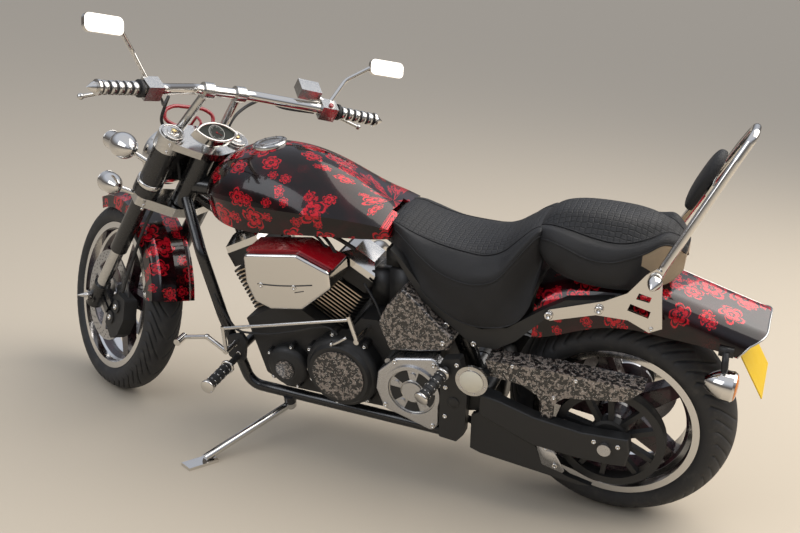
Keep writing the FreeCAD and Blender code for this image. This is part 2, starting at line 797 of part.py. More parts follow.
def yoke(name, low, high, front, end_radius):
    """A clamp between the fork legs, bored for them, with an eye for the steering stem."""
    body = new_body(name)
    side = S.leg_spread
    back = -S.fork_offset
    reach = end_radius * 0.95
    plan = [
        (end_radius * 0.6, side + end_radius * 0.8), (-end_radius * 0.6, side + end_radius * 0.8),
        (-reach, side + end_radius * 0.2), (back - 34, 30), (back - 34, -30),
        (-reach, -side - end_radius * 0.2), (-end_radius * 0.6, -side - end_radius * 0.8),
        (end_radius * 0.6, -side - end_radius * 0.8), (reach, -side), (front, -side + reach),
        (front, side - reach), (reach, side)]
    pad(body, outline(body, "XY_Plane", low, plan), high - low)
    rounded(body, 8, straight_along(UP))
    for place in (side, -side):
        bore = circle(body, "XY_Plane", high + 1, 0, place, S.leg_radius)
        pocket(body, bore, high - low + 2)
    return body


def upper_yoke():
    """The upper clamp with its two capped rings, the steering stem and the stem's nut."""
    low, high = S.upper_yoke_low, S.upper_yoke_high
    floor, roof = S.upper_plate_low, S.upper_plate_high
    plate = yoke("UpperYokePlate", floor, roof, 52, 42)
    rings = []
    for name, side in (("Left", S.leg_spread), ("Right", -S.leg_spread)):
        outer = fused(f"{name}RingCapped", [
            cylinder(f"{name}RingOuter", 41, high - low, leg(side, low)),
            cylinder(f"{name}ForkCap", 31, 4, leg(side, high)),
            cylinder(f"{name}CapBolt", 9, 13, leg(side, high))])
        rings.append(cut(f"{name}Ring", outer, cylinder(
            f"{name}RingBore", S.leg_radius, S.outer_tube_high + S.seat_gap - low, leg(side, low))))
    stem = cylinder("SteeringStem", S.stem_radius, floor - S.lower_yoke_high,
                    Vector(-S.fork_offset, 0, S.lower_yoke_high))
    nut = cylinder("StemNut", 20, 12, Vector(-S.fork_offset, 0, roof))
    posts = fused("UpperYoke", [plate, stem, nut] + rings + riser_pieces())
    return cut("UpperYokeBored", posts, cylinder(
        "RiserBore", S.handlebar_radius, 140, bar_middle() - LEFT * 70, LEFT))


def front_fender():
    """Arched sheet over the wheel, its flanks turned down, carried by a stay on each side."""
    body = new_body("FrontFender")
    outer, wall, half = S.fender_radius, S.fender_wall, S.fender_half_width
    skirt = 52
    section = [
        (outer - skirt, half), (outer - 14, half), (outer, half - 26, 34),
        (outer + 5, 0, 300), (outer, -half + 26, 300), (outer - 14, -half, 34),
        (outer - skirt, -half), (outer - skirt, -half + wall), (outer - 15, -half + wall),
        (outer - wall, -half + 27, -31), (outer + 5 - wall, 0, -297), (outer - wall, half - 27, -297),
        (outer - 15, half - wall, -31), (outer - skirt, half - wall)]
    plan = outline(body, "XY_Plane", 0, section)
    turned(body, plan, angle=99)
    body.Placement = Placement(Vector(), Rotation(LEFT, -135))
    return body


def front_caliper():
    """A caliper behind each leg, astride its disc, with two round pistons in its face."""
    side = S.disc_place
    body = new_body("CaliperLeft")
    side_pad(body, side - 20, side + S.caliper_face, [
        (-66, 92), (-60, 20), (-84, -40), (-148, -44), (-172, 0), (-168, 66), (-128, 116)])
    rounded(body, 8, straight_along(LEFT))
    slot = S.disc_thickness / 2 + 1.5
    side_hole(body, side - slot, side + slot, 0, 0, S.disc_radius + 3)
    for name, across, up in (("Upper", -106, 62), ("Lower", -102, 8)):
        side_disc(body, side + S.caliper_face, side + S.caliper_face + 6, across, up, 21)
    return body


def lamp_place():
    return Placement(Vector(111, 0, 522), Rotation(LEFT, fork_forward()))


def headlight():
    """Bowl turned about its own axis, open to the front, on an arm from the fork's panel."""
    place = lamp_place()
    bowl = new_body("HeadlightBowl")
    depth, edge = S.lamp_depth, S.lamp_radius
    profile = [(0, -depth), (edge * 0.43, -depth + 12, 58), (edge * 0.87, -depth * 0.41, 88),
               (edge, 2, 175), (edge + 5, 6), (edge + 5, 18), (edge - 3, 18), (edge - 3, 3),
               (edge * 0.82, -depth * 0.4, -172), (edge * 0.4, -depth + 18, -84),
               (0, -depth + 6, -54)]
    turned(bowl, outline(bowl, "XY_Plane", 0, profile))
    bowl.Placement = place
    behind = place.multVec(Vector(0, -14 - depth, 0))
    boss = cylinder("HeadlightBoss", 11, 25, behind, fork_forward())
    seat = Vector(8 + S.seat_gap, 0, behind.z)
    arm = cylinder("HeadlightArm", 8, behind.x - seat.x + 4, seat, Vector(1, 0, 0))
    return fused("Headlight", [bowl, boss, arm])


def headlight_lens():
    lens = new_body("HeadlightLens")
    edge = S.lamp_radius - 3 - S.seat_gap
    turned(lens, outline(lens, "XY_Plane", 0, [(0, 22), (0, 14), (edge, 5), (edge, 13)]))
    lens.Placement = lamp_place()
    return lens


def side_lamp(name, length, radius, across, up, seat):
    """A bullet lamp on a short stalk from the fork, its face forward; seat is cut from the stalk."""
    shell = new_body(f"{name}Shell")
    profile = [(0, -length), (radius * 0.35, -length * 0.97), (radius, -length * 0.3, radius * 2.6),
               (radius, 0), (radius * 0.8, 5), (0, 9)]
    turned(shell, outline(shell, "XY_Plane", 0, profile))
    side = S.leg_spread + 85
    ahead = fork_forward()
    face = Vector(across, side, up) + ahead * (length / 2)
    shell.Placement = Placement(face, Rotation(LEFT, ahead))
    stalk = rod(f"{name}Stalk", leg(S.leg_spread + 10, up), Vector(across - 4, side, up), 8)
    return fused(f"{name}Lamp", [shell, cut(f"{name}StalkTrimmed", stalk, seat)])


def clock():
    """Almond-shaped instrument on a stalk, tilted to the rider."""
    body = new_body("ClockCase")
    reach, curve = 73, 98
    pad(body, outline(body, "XY_Plane", -28, [(reach * 0.8, 0, curve * 0.8),
                                              (-reach * 0.8, 0, curve * 0.8)]), 14)
    pad(body, outline(body, "XY_Plane", -14, [(reach, 0, curve), (-reach, 0, curve)]), 28)
    glass = outline(body, "XY_Plane", 15, [(reach - 12, 0, curve - 15), (-reach + 12, 0, curve - 15)])
    pocket(body, glass, 5)
    tilt = math.radians(18)
    facing = Vector(-math.sin(tilt), 0, math.cos(tilt))
    turn = Rotation(LEFT, facing.cross(LEFT), facing, "ZXY")
    centre = Vector(-S.fork_offset, 0, S.upper_yoke_high + 42)
    body.Placement = Placement(centre, turn)
    foot = S.upper_plate_high + 12
    stalk = cylinder("ClockStalk", 15, centre.z - 24 - foot, Vector(-S.fork_offset, 0, foot))
    return fused("Clock", [body, stalk])


def visor_ring():
    """An open oval ring over the headlight, on a stay from the upper yoke."""
    rise = Vector(47, 0, 39).normalize()
    centre = Vector(115, 0, 682)
    wide, deep = 82, 30.5
    corners = [(2, -deep), (wide * 0.61, -deep), (wide, -deep * 0.46), (wide, deep * 0.46),
               (wide * 0.61, deep)]
    corners += [(-side, up) for side, up in reversed(corners)]
    ring = tube("VisorRingHoop", [centre + LEFT * side + rise * up for side, up in corners], 6)
    back = centre - rise * deep
    clip = cylinder("VisorClip", 8, 20, back - LEFT * 10, LEFT)
    start = Vector(44, 0, S.upper_plate_high + S.seat_gap)
    stay = tube("VisorStay", [start, start + UP * 20, Vector(80, 0, start.z + 12), back], 4, 9)
    return fused("VisorRing", [ring, clip, stay])


def bar_end():
    """Where the handlebar tube stops and the grip begins, and the way that the grip points."""
    inner = Vector(-97, S.leg_spread * 3, 927)
    return inner, (Vector(-34, 190, 7)).normalize()


def bar_middle():
    """The middle of the handlebar, between its risers."""
    return Vector(12, 0, 866)


def handlebar():
    inner, way = bar_end()
    half = [bar_middle() + LEFT * 95, inner - way * 72, inner]
    points = [opposite(point) for point in reversed(half)] + half
    return tube("HandlebarTube", points, S.handlebar_radius, 62)


def riser_pieces():
    """Two posts leaning back from the upper yoke, each with a clamp round the handlebar."""
    pieces = []
    for name, way in (("Left", 1), ("Right", -1)):
        foot = Vector(34, way * 68, S.upper_plate_high)
        head = bar_middle() + LEFT * way * 52
        pieces.append(rod(f"RiserPost{name}", foot - UP * 2, head, 13))
        pieces.append(cylinder(f"RiserClamp{name}", S.handlebar_radius + 8, 30,
                               head - LEFT * 15, LEFT))
    return pieces


def grip():
    """Ribbed grip turned about its length, with a flange at the inner end."""
    body = new_body("GripLeft")
    radius, length = S.grip_radius, S.grip_length
    profile = [(0, 0), (radius + 6, 0), (radius + 6, 7), (radius - 2, 9)]
    ribs = 5
    pitch = (length - 14) / ribs
    for index in range(ribs):
        foot = 10 + pitch * index
        profile += [(radius - 2, foot + 3), (radius, foot + 5), (radius, foot + pitch - 3),
                    (radius - 2, foot + pitch - 1)]
    profile += [(radius - 2, length), (0, length)]
    turned(body, outline(body, "XY_Plane", 0, profile))
    inner, way = bar_end()
    body.Placement = Placement(inner, Rotation(LEFT, way))
    return body


def grip_end():
    """Polished flange and pointed tip at the outer end of a grip."""
    body = new_body("GripEndLeft")
    profile = [(0, 0), (S.grip_radius + 3, 0), (S.grip_radius + 3, 7), (13, 9), (15, 14), (12, 20),
               (0, 36)]
    turned(body, outline(body, "XY_Plane", 0, profile))
    inner, way = bar_end()
    body.Placement = Placement(inner + way * float(S.grip_length), Rotation(LEFT, way))
    return body


def opposite_bore(centre, way):
    """The handlebar's room through the right controls."""
    return cylinder("RightBore", S.handlebar_radius + S.seat_gap, 300,
                    opposite(centre - way * 200), opposite(way))


def bar_controls():
    """A switch box and a ball-ended lever at each grip, and the brake reservoir on the right."""
    inner, way = bar_end()
    box_turn = Rotation(LEFT, way)
    centre = inner - way * 32
    tip = centre + Vector(50, 0, -73) + way * 168
    lever = tube("LeverBlade", [centre + Vector(18, 0, -14), centre + Vector(50, 0, -40) + way * 40,
                                tip], 5.5, 40)
    side = fused("LeftControls", [
        block("SwitchBox", 46, 50, 46, centre, box_turn), lever, ball("LeverBall", 9, tip)])
    bored = cut("LeftControlsBored", side,
                cylinder("ControlBore", S.handlebar_radius, 120, centre - way * 60, way))
    right = mirrored("RightControls", bored)
    seat = opposite(centre + Vector(46, -60, 29))
    pump = rod("BrakePump", opposite(centre + Vector(14, 6, 6)), seat - UP * 6, 12)
    reservoir = fused("BrakeReservoir", [
        cut("BrakePumpBored", pump, opposite_bore(centre, way)), right,
        block("ReservoirBox", 52, 66, 34, seat, Rotation(LEFT * -1, opposite(way)))])
    return group("BarControls", [bored, reservoir])


def mirror():
    """A slanted mirror head on a two-bar stem that rises from the switch box."""
    inner, way = bar_end()
    box = inner - way * 32
    stem = tube("MirrorStem", [box + Vector(18, 12, 16), Vector(-30, 345, 998),
                               Vector(-37, 402, 1062)], 6, 40)
    room = [size + 2 * S.seat_gap for size in (46, 50, 46)]
    seat = block("MirrorSeat", *room, box, Rotation(LEFT, way))
    head = new_body("MirrorHead")
    half, tall, corner = 56, 23, 15
    pad(head, outline(head, "YZ_Plane", -7, [
        (half, tall - corner), (half - corner, tall, corner), (-half + corner, tall),
        (-half, tall - corner, corner), (-half, -tall + corner), (-half + corner, -tall, corner),
        (half - corner, -tall), (half, -tall + corner, corner)]), 14)
    turn = Rotation(UP, 13).multiply(Rotation(LEFT, 45)).multiply(Rotation(Vector(1, 0, 0), 7))
    head.Placement = Placement(Vector(-45, 450, 1070), turn)
    return fused("MirrorLeft", [cut("MirrorStemSeated", stem, seat), head])


# Frame, engine and transmission, in the bike frame

def flat_tube(name, points, radius, bend=40):
    return tube(name, [Vector(*point) for point in points], radius, bend)


def frame_backbone():
    """Steering head, one large tube back and down to the swingarm pivot, and the pivot spindle."""
    low, high = S.lower_yoke_high + 5, S.upper_plate_low - 5
    head = cylinder("HeadTube", S.head_tube_radius, high - low,
                    fork_point(-S.fork_offset, 0, low), steer_axis)
    pivot = (S.swingarm_pivot_along, S.swingarm_pivot_height)
    start = fork_point(-S.fork_offset - 12, 0, 560)
    spine = tube("Spine", [start, Vector(760, 0, 778), Vector(640, 0, 700), Vector(520, 0, 560),
                           Vector(pivot[0], 0, pivot[1])], S.backbone_radius, 50)
    half = 62
    pieces = [
        head, spine,
        cylinder("PivotTube", 28, 2 * half, Vector(pivot[0], -half, pivot[1]), LEFT),
        cylinder("PivotSpindle", S.pivot_spindle, 2 * spindle_reach(),
                 Vector(pivot[0], -spindle_reach(), pivot[1]), LEFT),
        cylinder("RailCross", 9, 2 * rail_inner(), Vector(583, -rail_inner(), 688), LEFT),
    ]
    saddle_low = 780
    saddle = S.tank_tunnel_roof - S.seat_gap - saddle_low
    for name, along in (("Front", 1090), ("Rear", 800)):
        pieces.append(block(f"TankSaddle{name}", 56, 40, saddle,
                            Vector(along, 0, saddle_low + saddle / 2)))
    bore = cylinder("HeadBore", S.stem_radius + S.running_fit, 400,
                    fork_point(-S.fork_offset, 0, low - 50), steer_axis)
    return cut("FrameBackbone", fused("BackboneRaw", pieces), bore)


def rail_inner():
    return S.rear_fender_half_width + S.seat_gap


def spindle_reach():
    return plate_inner() - S.seat_gap


def plate_inner():
    return S.swingarm_inner + 5


def frame_cradle():
    """Two tubes down from the steering head and back under the engine, with cross tubes."""
    side, floor = S.cradle_half_width, S.cradle_height
    top = fork_point(-S.fork_offset - 16, 20, S.lower_yoke_high + 38)
    left = tube("CradleLeft", [top, Vector(1263, side, 606), Vector(1206, side, 407),
                               Vector(1120, side, floor), Vector(488, side, floor)],
                S.frame_tube, 55)
    head = cylinder("CradleSeat", S.head_tube_radius, 400, fork_point(-S.fork_offset, 0, 350),
                    steer_axis)
    pivot = Vector(S.swingarm_pivot_along, 0, S.swingarm_pivot_height)
    pieces = [left, mirrored("CradleRight", left)]
    for name, along, up in (("Front", 1160, 287), ("Rear", 492, floor)):
        pieces.append(cylinder(f"Cross{name}", 14, 2 * side, Vector(along, -side, up), LEFT))
    for name, way in (("Left", 38), ("Right", -38)):
        pieces.append(rod(f"Upright{name}", Vector(492, way, floor), pivot + LEFT * way, 15))
    pieces.append(stand_lug())
    pivot_room = cylinder("PivotRoom", 28, 300, pivot - LEFT * 150, LEFT)
    return cut("FrameCradle", cut("CradleAtHead", fused("CradleRaw", pieces), head), pivot_room)


def seat_rails():
    """Heavy rails that sweep down past the seat and up along the rear fender."""
    body = new_body("SeatRailLeft")
    side_pad(body, rail_inner(), S.rail_outer, [
        (638, 758), (606, 732), (526, 637), (470, 594), (420, 573), (370, 568), (300, 588),
        (217, 657), (150, 705), (33, 731), (33, 700), (135, 668), (199, 640), (274, 553),
        (330, 513), (393, 511), (486, 576), (548, 624)])
    return pair("SeatRails", body)


def deck(way):
    """Foot of a cylinder: way is 1 for the front one and -1 for the rear one."""
    lean_over = math.radians(S.vee_half_angle)
    axis = Vector(way * math.sin(lean_over), 0, math.cos(lean_over))
    base = Vector(S.crank_along, 0, S.crank_height) + axis * float(S.deck_height)
    return Placement(base, Rotation(UP, axis))


def crankcase():
    """Main casing with two decks for the cylinders and the gearbox behind."""
    body = new_body("Crankcase")
    half = S.crankcase_half_width
    angle = S.vee_half_angle
    deck_half = S.fin_half_width + 2
    ahead = S.deck_height * sine(angle)
    up = S.crank_height + S.deck_height * cosine(angle)
    drop = deck_half * sine(angle)
    reach = deck_half * cosine(angle)
    apex = up + ahead * sine(angle) / cosine(angle)
    crank = S.crank_along
    side_pad(body, -half, half, [
        (crank + ahead + reach, up - drop), (crank, apex), (crank - ahead - reach, up - drop),
        (crank - 187, 455), (crank - 222, 500), (crank - 272, 505), (crank - 322, 470),
        (crank - 345, 400), (crank - 345, 270), (crank - 300, 215), (crank + 30, 205),
        (crank + 96, 240), (crank + 126, 330)])
    rounded(body, 9, both(straight_along(LEFT), lambda edge: edge.BoundBox.ZMax < 350))
    along, height = S.drive_pulley_along, S.drive_pulley_height
    joint = crank - 337
    side_pad(body, -half + 18, half - 2, [
        (along - 43, 425), (joint, 425), (joint, 240), (along - 8, 232), (along - 43, 270)])
    side_disc(body, half - 4, S.pulley_inner_place, along, height, 18)
    side_disc(body, S.pulley_inner_place, S.pulley_inner_place + S.pulley_width, along, height,
              S.drive_pulley_radius - S.belt_thickness)
    return body


def engine_cylinder(name, way):
    """Barrel and head with square cooling fins, standing on its deck."""
    body = new_body(name)
    fins_high = S.fin_pitch * (S.fin_count + 1)
    pad(body, circle(body, "XY_Plane", 0, 0, 0, 60), fins_high)
    half = S.fin_half_width
    corner = 22
    plan = [(half, -half + corner), (half, half - corner), (half - corner, half, corner),
            (-half + corner, half), (-half, half - corner, corner), (-half, -half + corner),
            (-half + corner, -half, corner), (half - corner, -half), (half, -half + corner, corner)]
    plan = plan[1:]
    fin = pad(body, outline(body, "XY_Plane", S.fin_pitch - S.fin_thickness, plan), S.fin_thickness)
    in_line(body, fin, "Z_Axis", S.fin_pitch * (S.fin_count - 1), S.fin_count)
    inset = half - S.head_inset
    pad(body, outline(body, "XY_Plane", fins_high - 1, [
        (inset, -inset), (inset, inset), (-inset, inset), (-inset, -inset)]), 46)
    rounded(body, 14, both(straight_along(UP), lambda edge: edge.Length > 30))
    body.Placement = deck(way)
    return body


def rocker_cover(name, way):
    """Polished cap with sloped shoulders on a cylinder head."""
    body = new_body(name)
    foot = S.fin_pitch * (S.fin_count + 1) + 45 + S.seat_gap
    wide, deep = 62, 68
    low = outline(body, "XY_Plane", foot, [(wide, -deep), (wide, deep), (-wide, deep), (-wide, -deep)])
    mid = outline(body, "XY_Plane", foot + 20, [(wide - 2, -deep + 2), (wide - 2, deep - 2),
                                                (-wide + 2, deep - 2), (-wide + 2, -deep + 2)])
    high = outline(body, "XY_Plane", foot + 42, [(34, -40), (34, 40), (-34, 40), (-34, -40)])
    loft(body, [low, mid])
    loft(body, [mid, high])
    body.Placement = deck(way)
    return body


def engine_covers():
    """The large and the small round cover on the left, and the long one on the right."""
    return group("EngineCovers", [large_cover(), small_cover(), right_cover()])


def large_cover():
    body = new_body("LargeCover")
    base, radius, reach = S.crankcase_half_width, S.cover_radius, S.cover_reach
    turned(body, outline(body, "XY_Plane", 0, [
        (0, base), (radius, base), (radius, base + 34), (radius - 14, reach - 12, 30),
        (radius - 22, reach), (0, reach)]))
    body.Placement = Placement(Vector(S.cover_along, 0, S.cover_height), Rotation())
    return body


def small_cover():
    body = new_body("SmallCover")
    base, radius = S.crankcase_half_width, S.small_cover_radius
    turned(body, outline(body, "XY_Plane", 0, [
        (0, base), (radius, base), (radius, base + 24), (radius - 16, base + 40, 24),
        (radius - 30, base + 46), (0, base + 46)]))
    body.Placement = Placement(Vector(S.small_cover_along, 0, S.small_cover_height), Rotation())
    return body


def right_cover():
    """Round at both ends, over the crankshaft and the clutch."""
    body = new_body("RightCover")
    base = S.crankcase_half_width
    side_pad(body, -base - 32, -base, [
        (S.cover_along, S.cover_height + 100), (S.cover_along, S.cover_height - 100, 101),
        (S.crank_along + 12, S.crank_height - 74), (S.crank_along + 12, S.crank_height + 74, 75)])
    rounded(body, 10, lying_at("Y", -base - 32))
    return body


def cover_insets():
    """Speckled discs let into the faces of the two round covers."""
    large = cylinder("LargeInset", 80, 4, Vector(S.cover_along, S.cover_reach, S.cover_height), LEFT)
    small = cylinder("SmallInset", 30, 4, Vector(S.small_cover_along, S.crankcase_half_width + 46,
                                                 S.small_cover_height), LEFT)
    return group("CoverInsets", [large, small])


def air_cleaner():
    """Polished wedge-shaped box between the cylinders, its face rounded all about."""
    body = new_body("AirCleaner")
    low, high = S.fin_half_width + S.seat_gap, 198
    side_pad(body, low, high, [(S.crank_along + along, up) for along, up in (
        (108, 678), (-59, 708), (-160, 672), (-165, 622), (-74, 536), (28, 516), (78, 532),
        (104, 590))])
    rounded(body, 16, straight_along(LEFT))
    rounded(body, 9, lying_at("Y", high))
    return body


def air_cleaner_strip():
    body = new_body("AirCleanerStrip")
    side_pad(body, S.fin_half_width + 10, 176, [(S.crank_along + along, up) for along, up in (
        (107, 685.4), (-59, 715.4), (-166, 677.4), (-162, 672.4), (-59, 708.4), (107, 678.4))])
    return body


def exhaust_port(way):
    """Middle of a cylinder head's right face."""
    middle = S.fin_pitch * (S.fin_count + 1) + 22
    return deck(way).multVec(Vector(0, S.head_inset - S.fin_half_width - S.seat_gap, middle))


def exhaust():
    """Two headers joined ahead of one long silencer on the right."""
    side = -float(S.swingarm_outer + S.muffler_radius + 8)
    first = exhaust_port(1)
    second = exhaust_port(-1)
    front = flat_tube("FrontHeader", [
        tuple(first - LEFT * 6), (first.x - 2, -168, first.z - 8), (1060, -176, 330), (930, -180, 238), (700, -190, 236),
        (570, side, 246), (480, side, 250)], S.header_radius, 45)
    rear = flat_tube("RearHeader", [
        tuple(second - LEFT * 6), (second.x + 4, -168, second.z - 8), (706, -186, 350), (640, -224, 241)], S.header_radius, 45)
    can = new_body("Silencer")
    radius = S.muffler_radius
    profile = [(0, 0), (S.header_radius + 6, 0), (radius, 90, 300), (radius, 560), (radius - 6, 640),
               (radius - 18, 640), (radius - 18, 600), (0, 600)]
    turned(can, outline(can, "XY_Plane", 0, profile))
    can.Placement = Placement(Vector(500, side, 250), Rotation(LEFT, Vector(-1, -0.02, 0.1)))
    flanges = [cylinder(f"PortFlange{number}", 19, 12, port, -LEFT)
               for number, port in enumerate((first, second))]
    return fused("Exhaust", [front, rear, can] + flanges)


def pulley_cover():
    """Polished cover over the front belt pulley, a raised ring with five windows in its face."""
    body = new_body("PulleyCover")
    low, high = S.pulley_inner_place + S.pulley_width + 4, 200
    along, up = S.drive_pulley_along, S.drive_pulley_height
    side_pad(body, low, high, [
        (655, 392), (604, 446), (490, 472), (469, 452), (469, 258), (488, 230), (636, 272),
        (661, 333)])
    rounded(body, 18, straight_along(LEFT))
    rounded(body, 7, lying_at("Y", high))
    ring = circle(body, "XZ_Plane", -high - 7, along, up, 82)
    add_circle(ring, along, up, 72)
    pad(body, ring, 8)
    side_disc(body, high - 1, high + 6, along, up, 30)
    for index in range(5):
        turn = math.radians(90 + 72 * index)
        side_disc(body, high - 1, high + 4, along + 51 * math.cos(turn), up + 51 * math.sin(turn), 9)
    for name, place in (("High", 405), ("Low", 300)):
        side_disc(body, S.crankcase_half_width, low + 1, 636, place, 12)
    return body


def drive_belt():
    """The belt's loop round both pulleys, a little off them, between their flanges."""
    body = new_body("DriveBelt")
    low = S.pulley_inner_place + 4
    high = S.pulley_inner_place + S.pulley_width - 4
    for radius_shift, cutting in ((S.belt_gap + 5, False), (S.belt_gap, True)):
        large = S.pulley_radius - S.belt_thickness + radius_shift
        small = S.drive_pulley_radius - S.belt_thickness + radius_shift
        points = belt_line(large, small)
        if cutting:
            side_pocket(body, low, high, points)
        else:
            side_pad(body, low, high, points)
    return body


def belt_line(large, small):
    """Outline of a loop round the rear pulley (large) and the front one (small)."""
    centre = Vector(S.drive_pulley_along, S.drive_pulley_height - S.rear_radius, 0)
    tilt = math.atan2(centre.y, centre.x)
    open_turn = math.acos((large - small) / centre.Length)
    rows = []
    for turn in (tilt + open_turn, tilt - open_turn):
        away = Vector(math.cos(turn), math.sin(turn), 0)
        rows.append((away * float(large), centre + away * float(small)))
    (upper_rear, upper_front), (lower_rear, lower_front) = rows
    back = Vector(-math.cos(tilt), -math.sin(tilt), 0) * float(large)
    base = S.rear_radius
    return [(upper_front.x, upper_front.y + base, small), (upper_rear.x, upper_rear.y + base),
            (back.x, back.y + base, large), (lower_rear.x, lower_rear.y + base, large),
            (lower_front.x, lower_front.y + base)]


# Bodywork, seats and tail

def tank_section(body, along, top, half, crease, low):
    """Flat underside, sides drawn in below the crease and one arch over the top."""
    rise = top - crease
    curve = (half * half + rise * rise) / (2 * rise)
    return outline(body, "YZ_Plane", along, [
        (-half + 14, low), (half - 14, low), (half, crease), (-half, crease, curve)])


# Sections of the tank: along, top, half width, crease, underside.
TANK_SECTIONS = [
    (1254, 836, 62, 800, 766),
    (1235, 862, 98, 802, 746),
    (1150, 922, 148, 812, 726),
    (1050, 946, 166, 818, 730),
    (900, 928, 167, 822, 750),
    (780, 876, 150, 818, 757),
    (656, 816, 124, 800, 766),
]


def fuel_tank(name="FuelTank"):
    """Long creased tank with a tunnel below for the backbone."""
    body = new_body(name)
    loft(body, [tank_section(body, *row) for row in TANK_SECTIONS])
    start, end = TANK_SECTIONS[-1][0], TANK_SECTIONS[0][0]
    tunnel = S.backbone_radius + 14
    roof = S.tank_tunnel_roof
    channel = outline(body, "YZ_Plane", start - 10, [(-tunnel, 700), (tunnel, 700), (tunnel, roof),
                                                     (-tunnel, roof)])
    feature = pocket(body, channel, end - start + 30)
    feature.Reversed = True
    return body


def fuel_cap():
    """Round flush cap, its underside cut to the tank's curve."""
    tank = fuel_tank("TankUnderCap")
    cap = fused("CapRaw", [
        cylinder("CapDisc", S.tank_cap_radius, 30, Vector(S.tank_cap_along, 0, 922)),
        cylinder("CapKnob", S.tank_cap_radius - 9, 34, Vector(S.tank_cap_along, 0, 922))])
    seated = cut("FuelCap", cap, tank)
    seated.Placement = Placement(UP * float(S.seat_gap), Rotation())
    return seated


def rider_seat():
    """Deep saddle whose skirts hang outside the frame; hollow over the frame and fender."""
    body = new_body("RiderSeat")
    half = S.seat_half_width
    profile = [
        (652, 818), (580, 786), (463, 785), (378, 803), (318, 838), (282, 870), (262, 862),
        (232, 785), (180, 768), (221, 706), (243, 655), (290, 614), (368, 592), (421, 597),
        (468, 614), (526, 658), (606, 748.7), (652, 762.7)]
    side_pad(body, -half, half, profile)
    well = S.rail_outer + 2
    side_pocket(body, -well, well, [(700, 500), (700, 700), (560, 740), (150, 740), (150, 500)])
    return body


def passenger_seat():
    """Raised pillion pad over the rear fender."""
    body = new_body("PassengerSeat")
    half = S.pillion_half_width
    side_pad(body, -half, half, [
        (252, 838), (232, 886), (200, 912), (103, 921), (-30, 914), (-96, 892), (-124, 848),
        (-126, 800), (-90, 754.7), (150, 754.7), (236, 800)])
    rounded(body, 26, lambda edge: edge.BoundBox.ZMin > 840 and edge.BoundBox.YLength < 1
            and edge.BoundBox.XLength > 30)
    for way in (1, -1):
        pocket(body, outline(body, "XY_Plane", 960, [
            (0, 140 * way), (-32, 112 * way), (-68, 92 * way), (-100, 72 * way), (-128, 48 * way),
            (-140, 48 * way), (-140, 140 * way)]), 250)
    return body


def fender_section(body, along, half, top, low, corner):
    """An arch: straight skirts, round corners and a nearly flat top."""
    return outline(body, "YZ_Plane", along, [
        (half, low), (half, top - corner), (half - corner, top, corner), (-half + corner, top),
        (-half, top - corner, corner), (-half, low)])


# Sections of the rear fender: along, top, lower edge.
REAR_FENDER_SECTIONS = [
    (240, 690, 558),
    (100, 742, 612),
    (-30, 752, 640),
    (-110, 736, 636),
    (-193, 713, 632),
    (-270, 692, 621),
    (-352, 672, 600),
]


def rear_fender():
    """Wide arched sheet over the rear wheel, its tail drawn up."""
    body = new_body("RearFender")
    half, wall, corner = S.rear_fender_half_width, S.fender_wall, 60
    loft(body, [fender_section(body, along, half, top, low, corner)
                for along, top, low in REAR_FENDER_SECTIONS])
    inner_rows = [(REAR_FENDER_SECTIONS[0][0] + 1, *REAR_FENDER_SECTIONS[0][1:])]
    inner_rows += REAR_FENDER_SECTIONS[1:-1]
    inner_rows += [(REAR_FENDER_SECTIONS[-1][0] + 3, *REAR_FENDER_SECTIONS[-1][1:])]
    loft(body, [fender_section(body, along, half - wall, top - wall, low - 30, corner - wall)
                for along, top, low in inner_rows], cut=True)
    side_pocket(body, -half - 10, half + 10, [
        (-366, 686), (-352, 677), (-311, 652), (-285, 619), (-262, 585), (-262, 540), (-420, 540),
        (-420, 686)])
    return body


def sissy_bracket():
    """Polished plate on the rail, slotted twice, that carries the backrest."""
    body = new_body("SissyBracketLeft")
    low = S.rail_outer + S.seat_gap
    side_pad(body, low, low + S.bracket_thickness, [
        (200, 658), (190, 672), (52, 727), (-4, 762), (-44, 822), (-66, 842), (-80, 836),
        (-99, 680), (-68, 662), (-12, 686), (69, 683), (186, 640), (198, 644)])
    side_pocket(body, low - 1, low + S.bracket_thickness + 1, [
        (-26, 750), (-60, 746), (-64, 762), (-32, 768)])
    side_pocket(body, low - 1, low + S.bracket_thickness + 1, [
        (-8, 714), (-62, 702), (-66, 722), (-14, 734)])
    button = cone("BracketButton", 11, 5, 22, Vector(-68, low + S.bracket_thickness, 812), LEFT)
    return fused("SissyBracketWithButton", [body, button])


def sissy_bar():
    """The backrest's hoop, up from the inside of both brackets."""
    side = float(S.rail_outer - S.bar_radius)
    half = [Vector(-60, side, 776), Vector(-80, side, 840), Vector(-205, 62, 1112),
            Vector(-234, 36, 1170)]
    points = half + [opposite(point) for point in reversed(half)]
    return tube("SissyBar", points, S.bar_radius, 28)


def sissy_pad():
    """Oval back pad in front of the hoop, on a cross strap between its sides."""
    lean_back = Vector(-112, 0, 254).normalize()
    body = new_body("SissyPad")
    pad(body, outline(body, "XY_Plane", 0, [
        (82, 28), (52, 60, 38), (-52, 60), (-82, 28, 38), (-82, -28), (-52, -60, 38), (52, -60),
        (82, -28, 38)]), 30)
    rounded(body, 11, lying_at("Z", 30))
    forward = LEFT.cross(lean_back)
    centre = Vector(-146, 0, 1026) - forward * 1.75
    body.Placement = Placement(centre, Rotation(LEFT, lean_back, forward, "ZXY"))
    return body


def backrest_frame():
    """Both brackets, the hoop between them and the strap that holds the pad."""
    bracket = sissy_bracket()
    strap = block("SissyStrap", 6, 168, 30, Vector(-156, 0, 1036), Rotation(LEFT, -23))
    hoop = fused("SissyHoop", [sissy_bar(), strap])
    return group("BackrestFrame", [bracket, mirrored("SissyBracketRight", bracket), hoop])


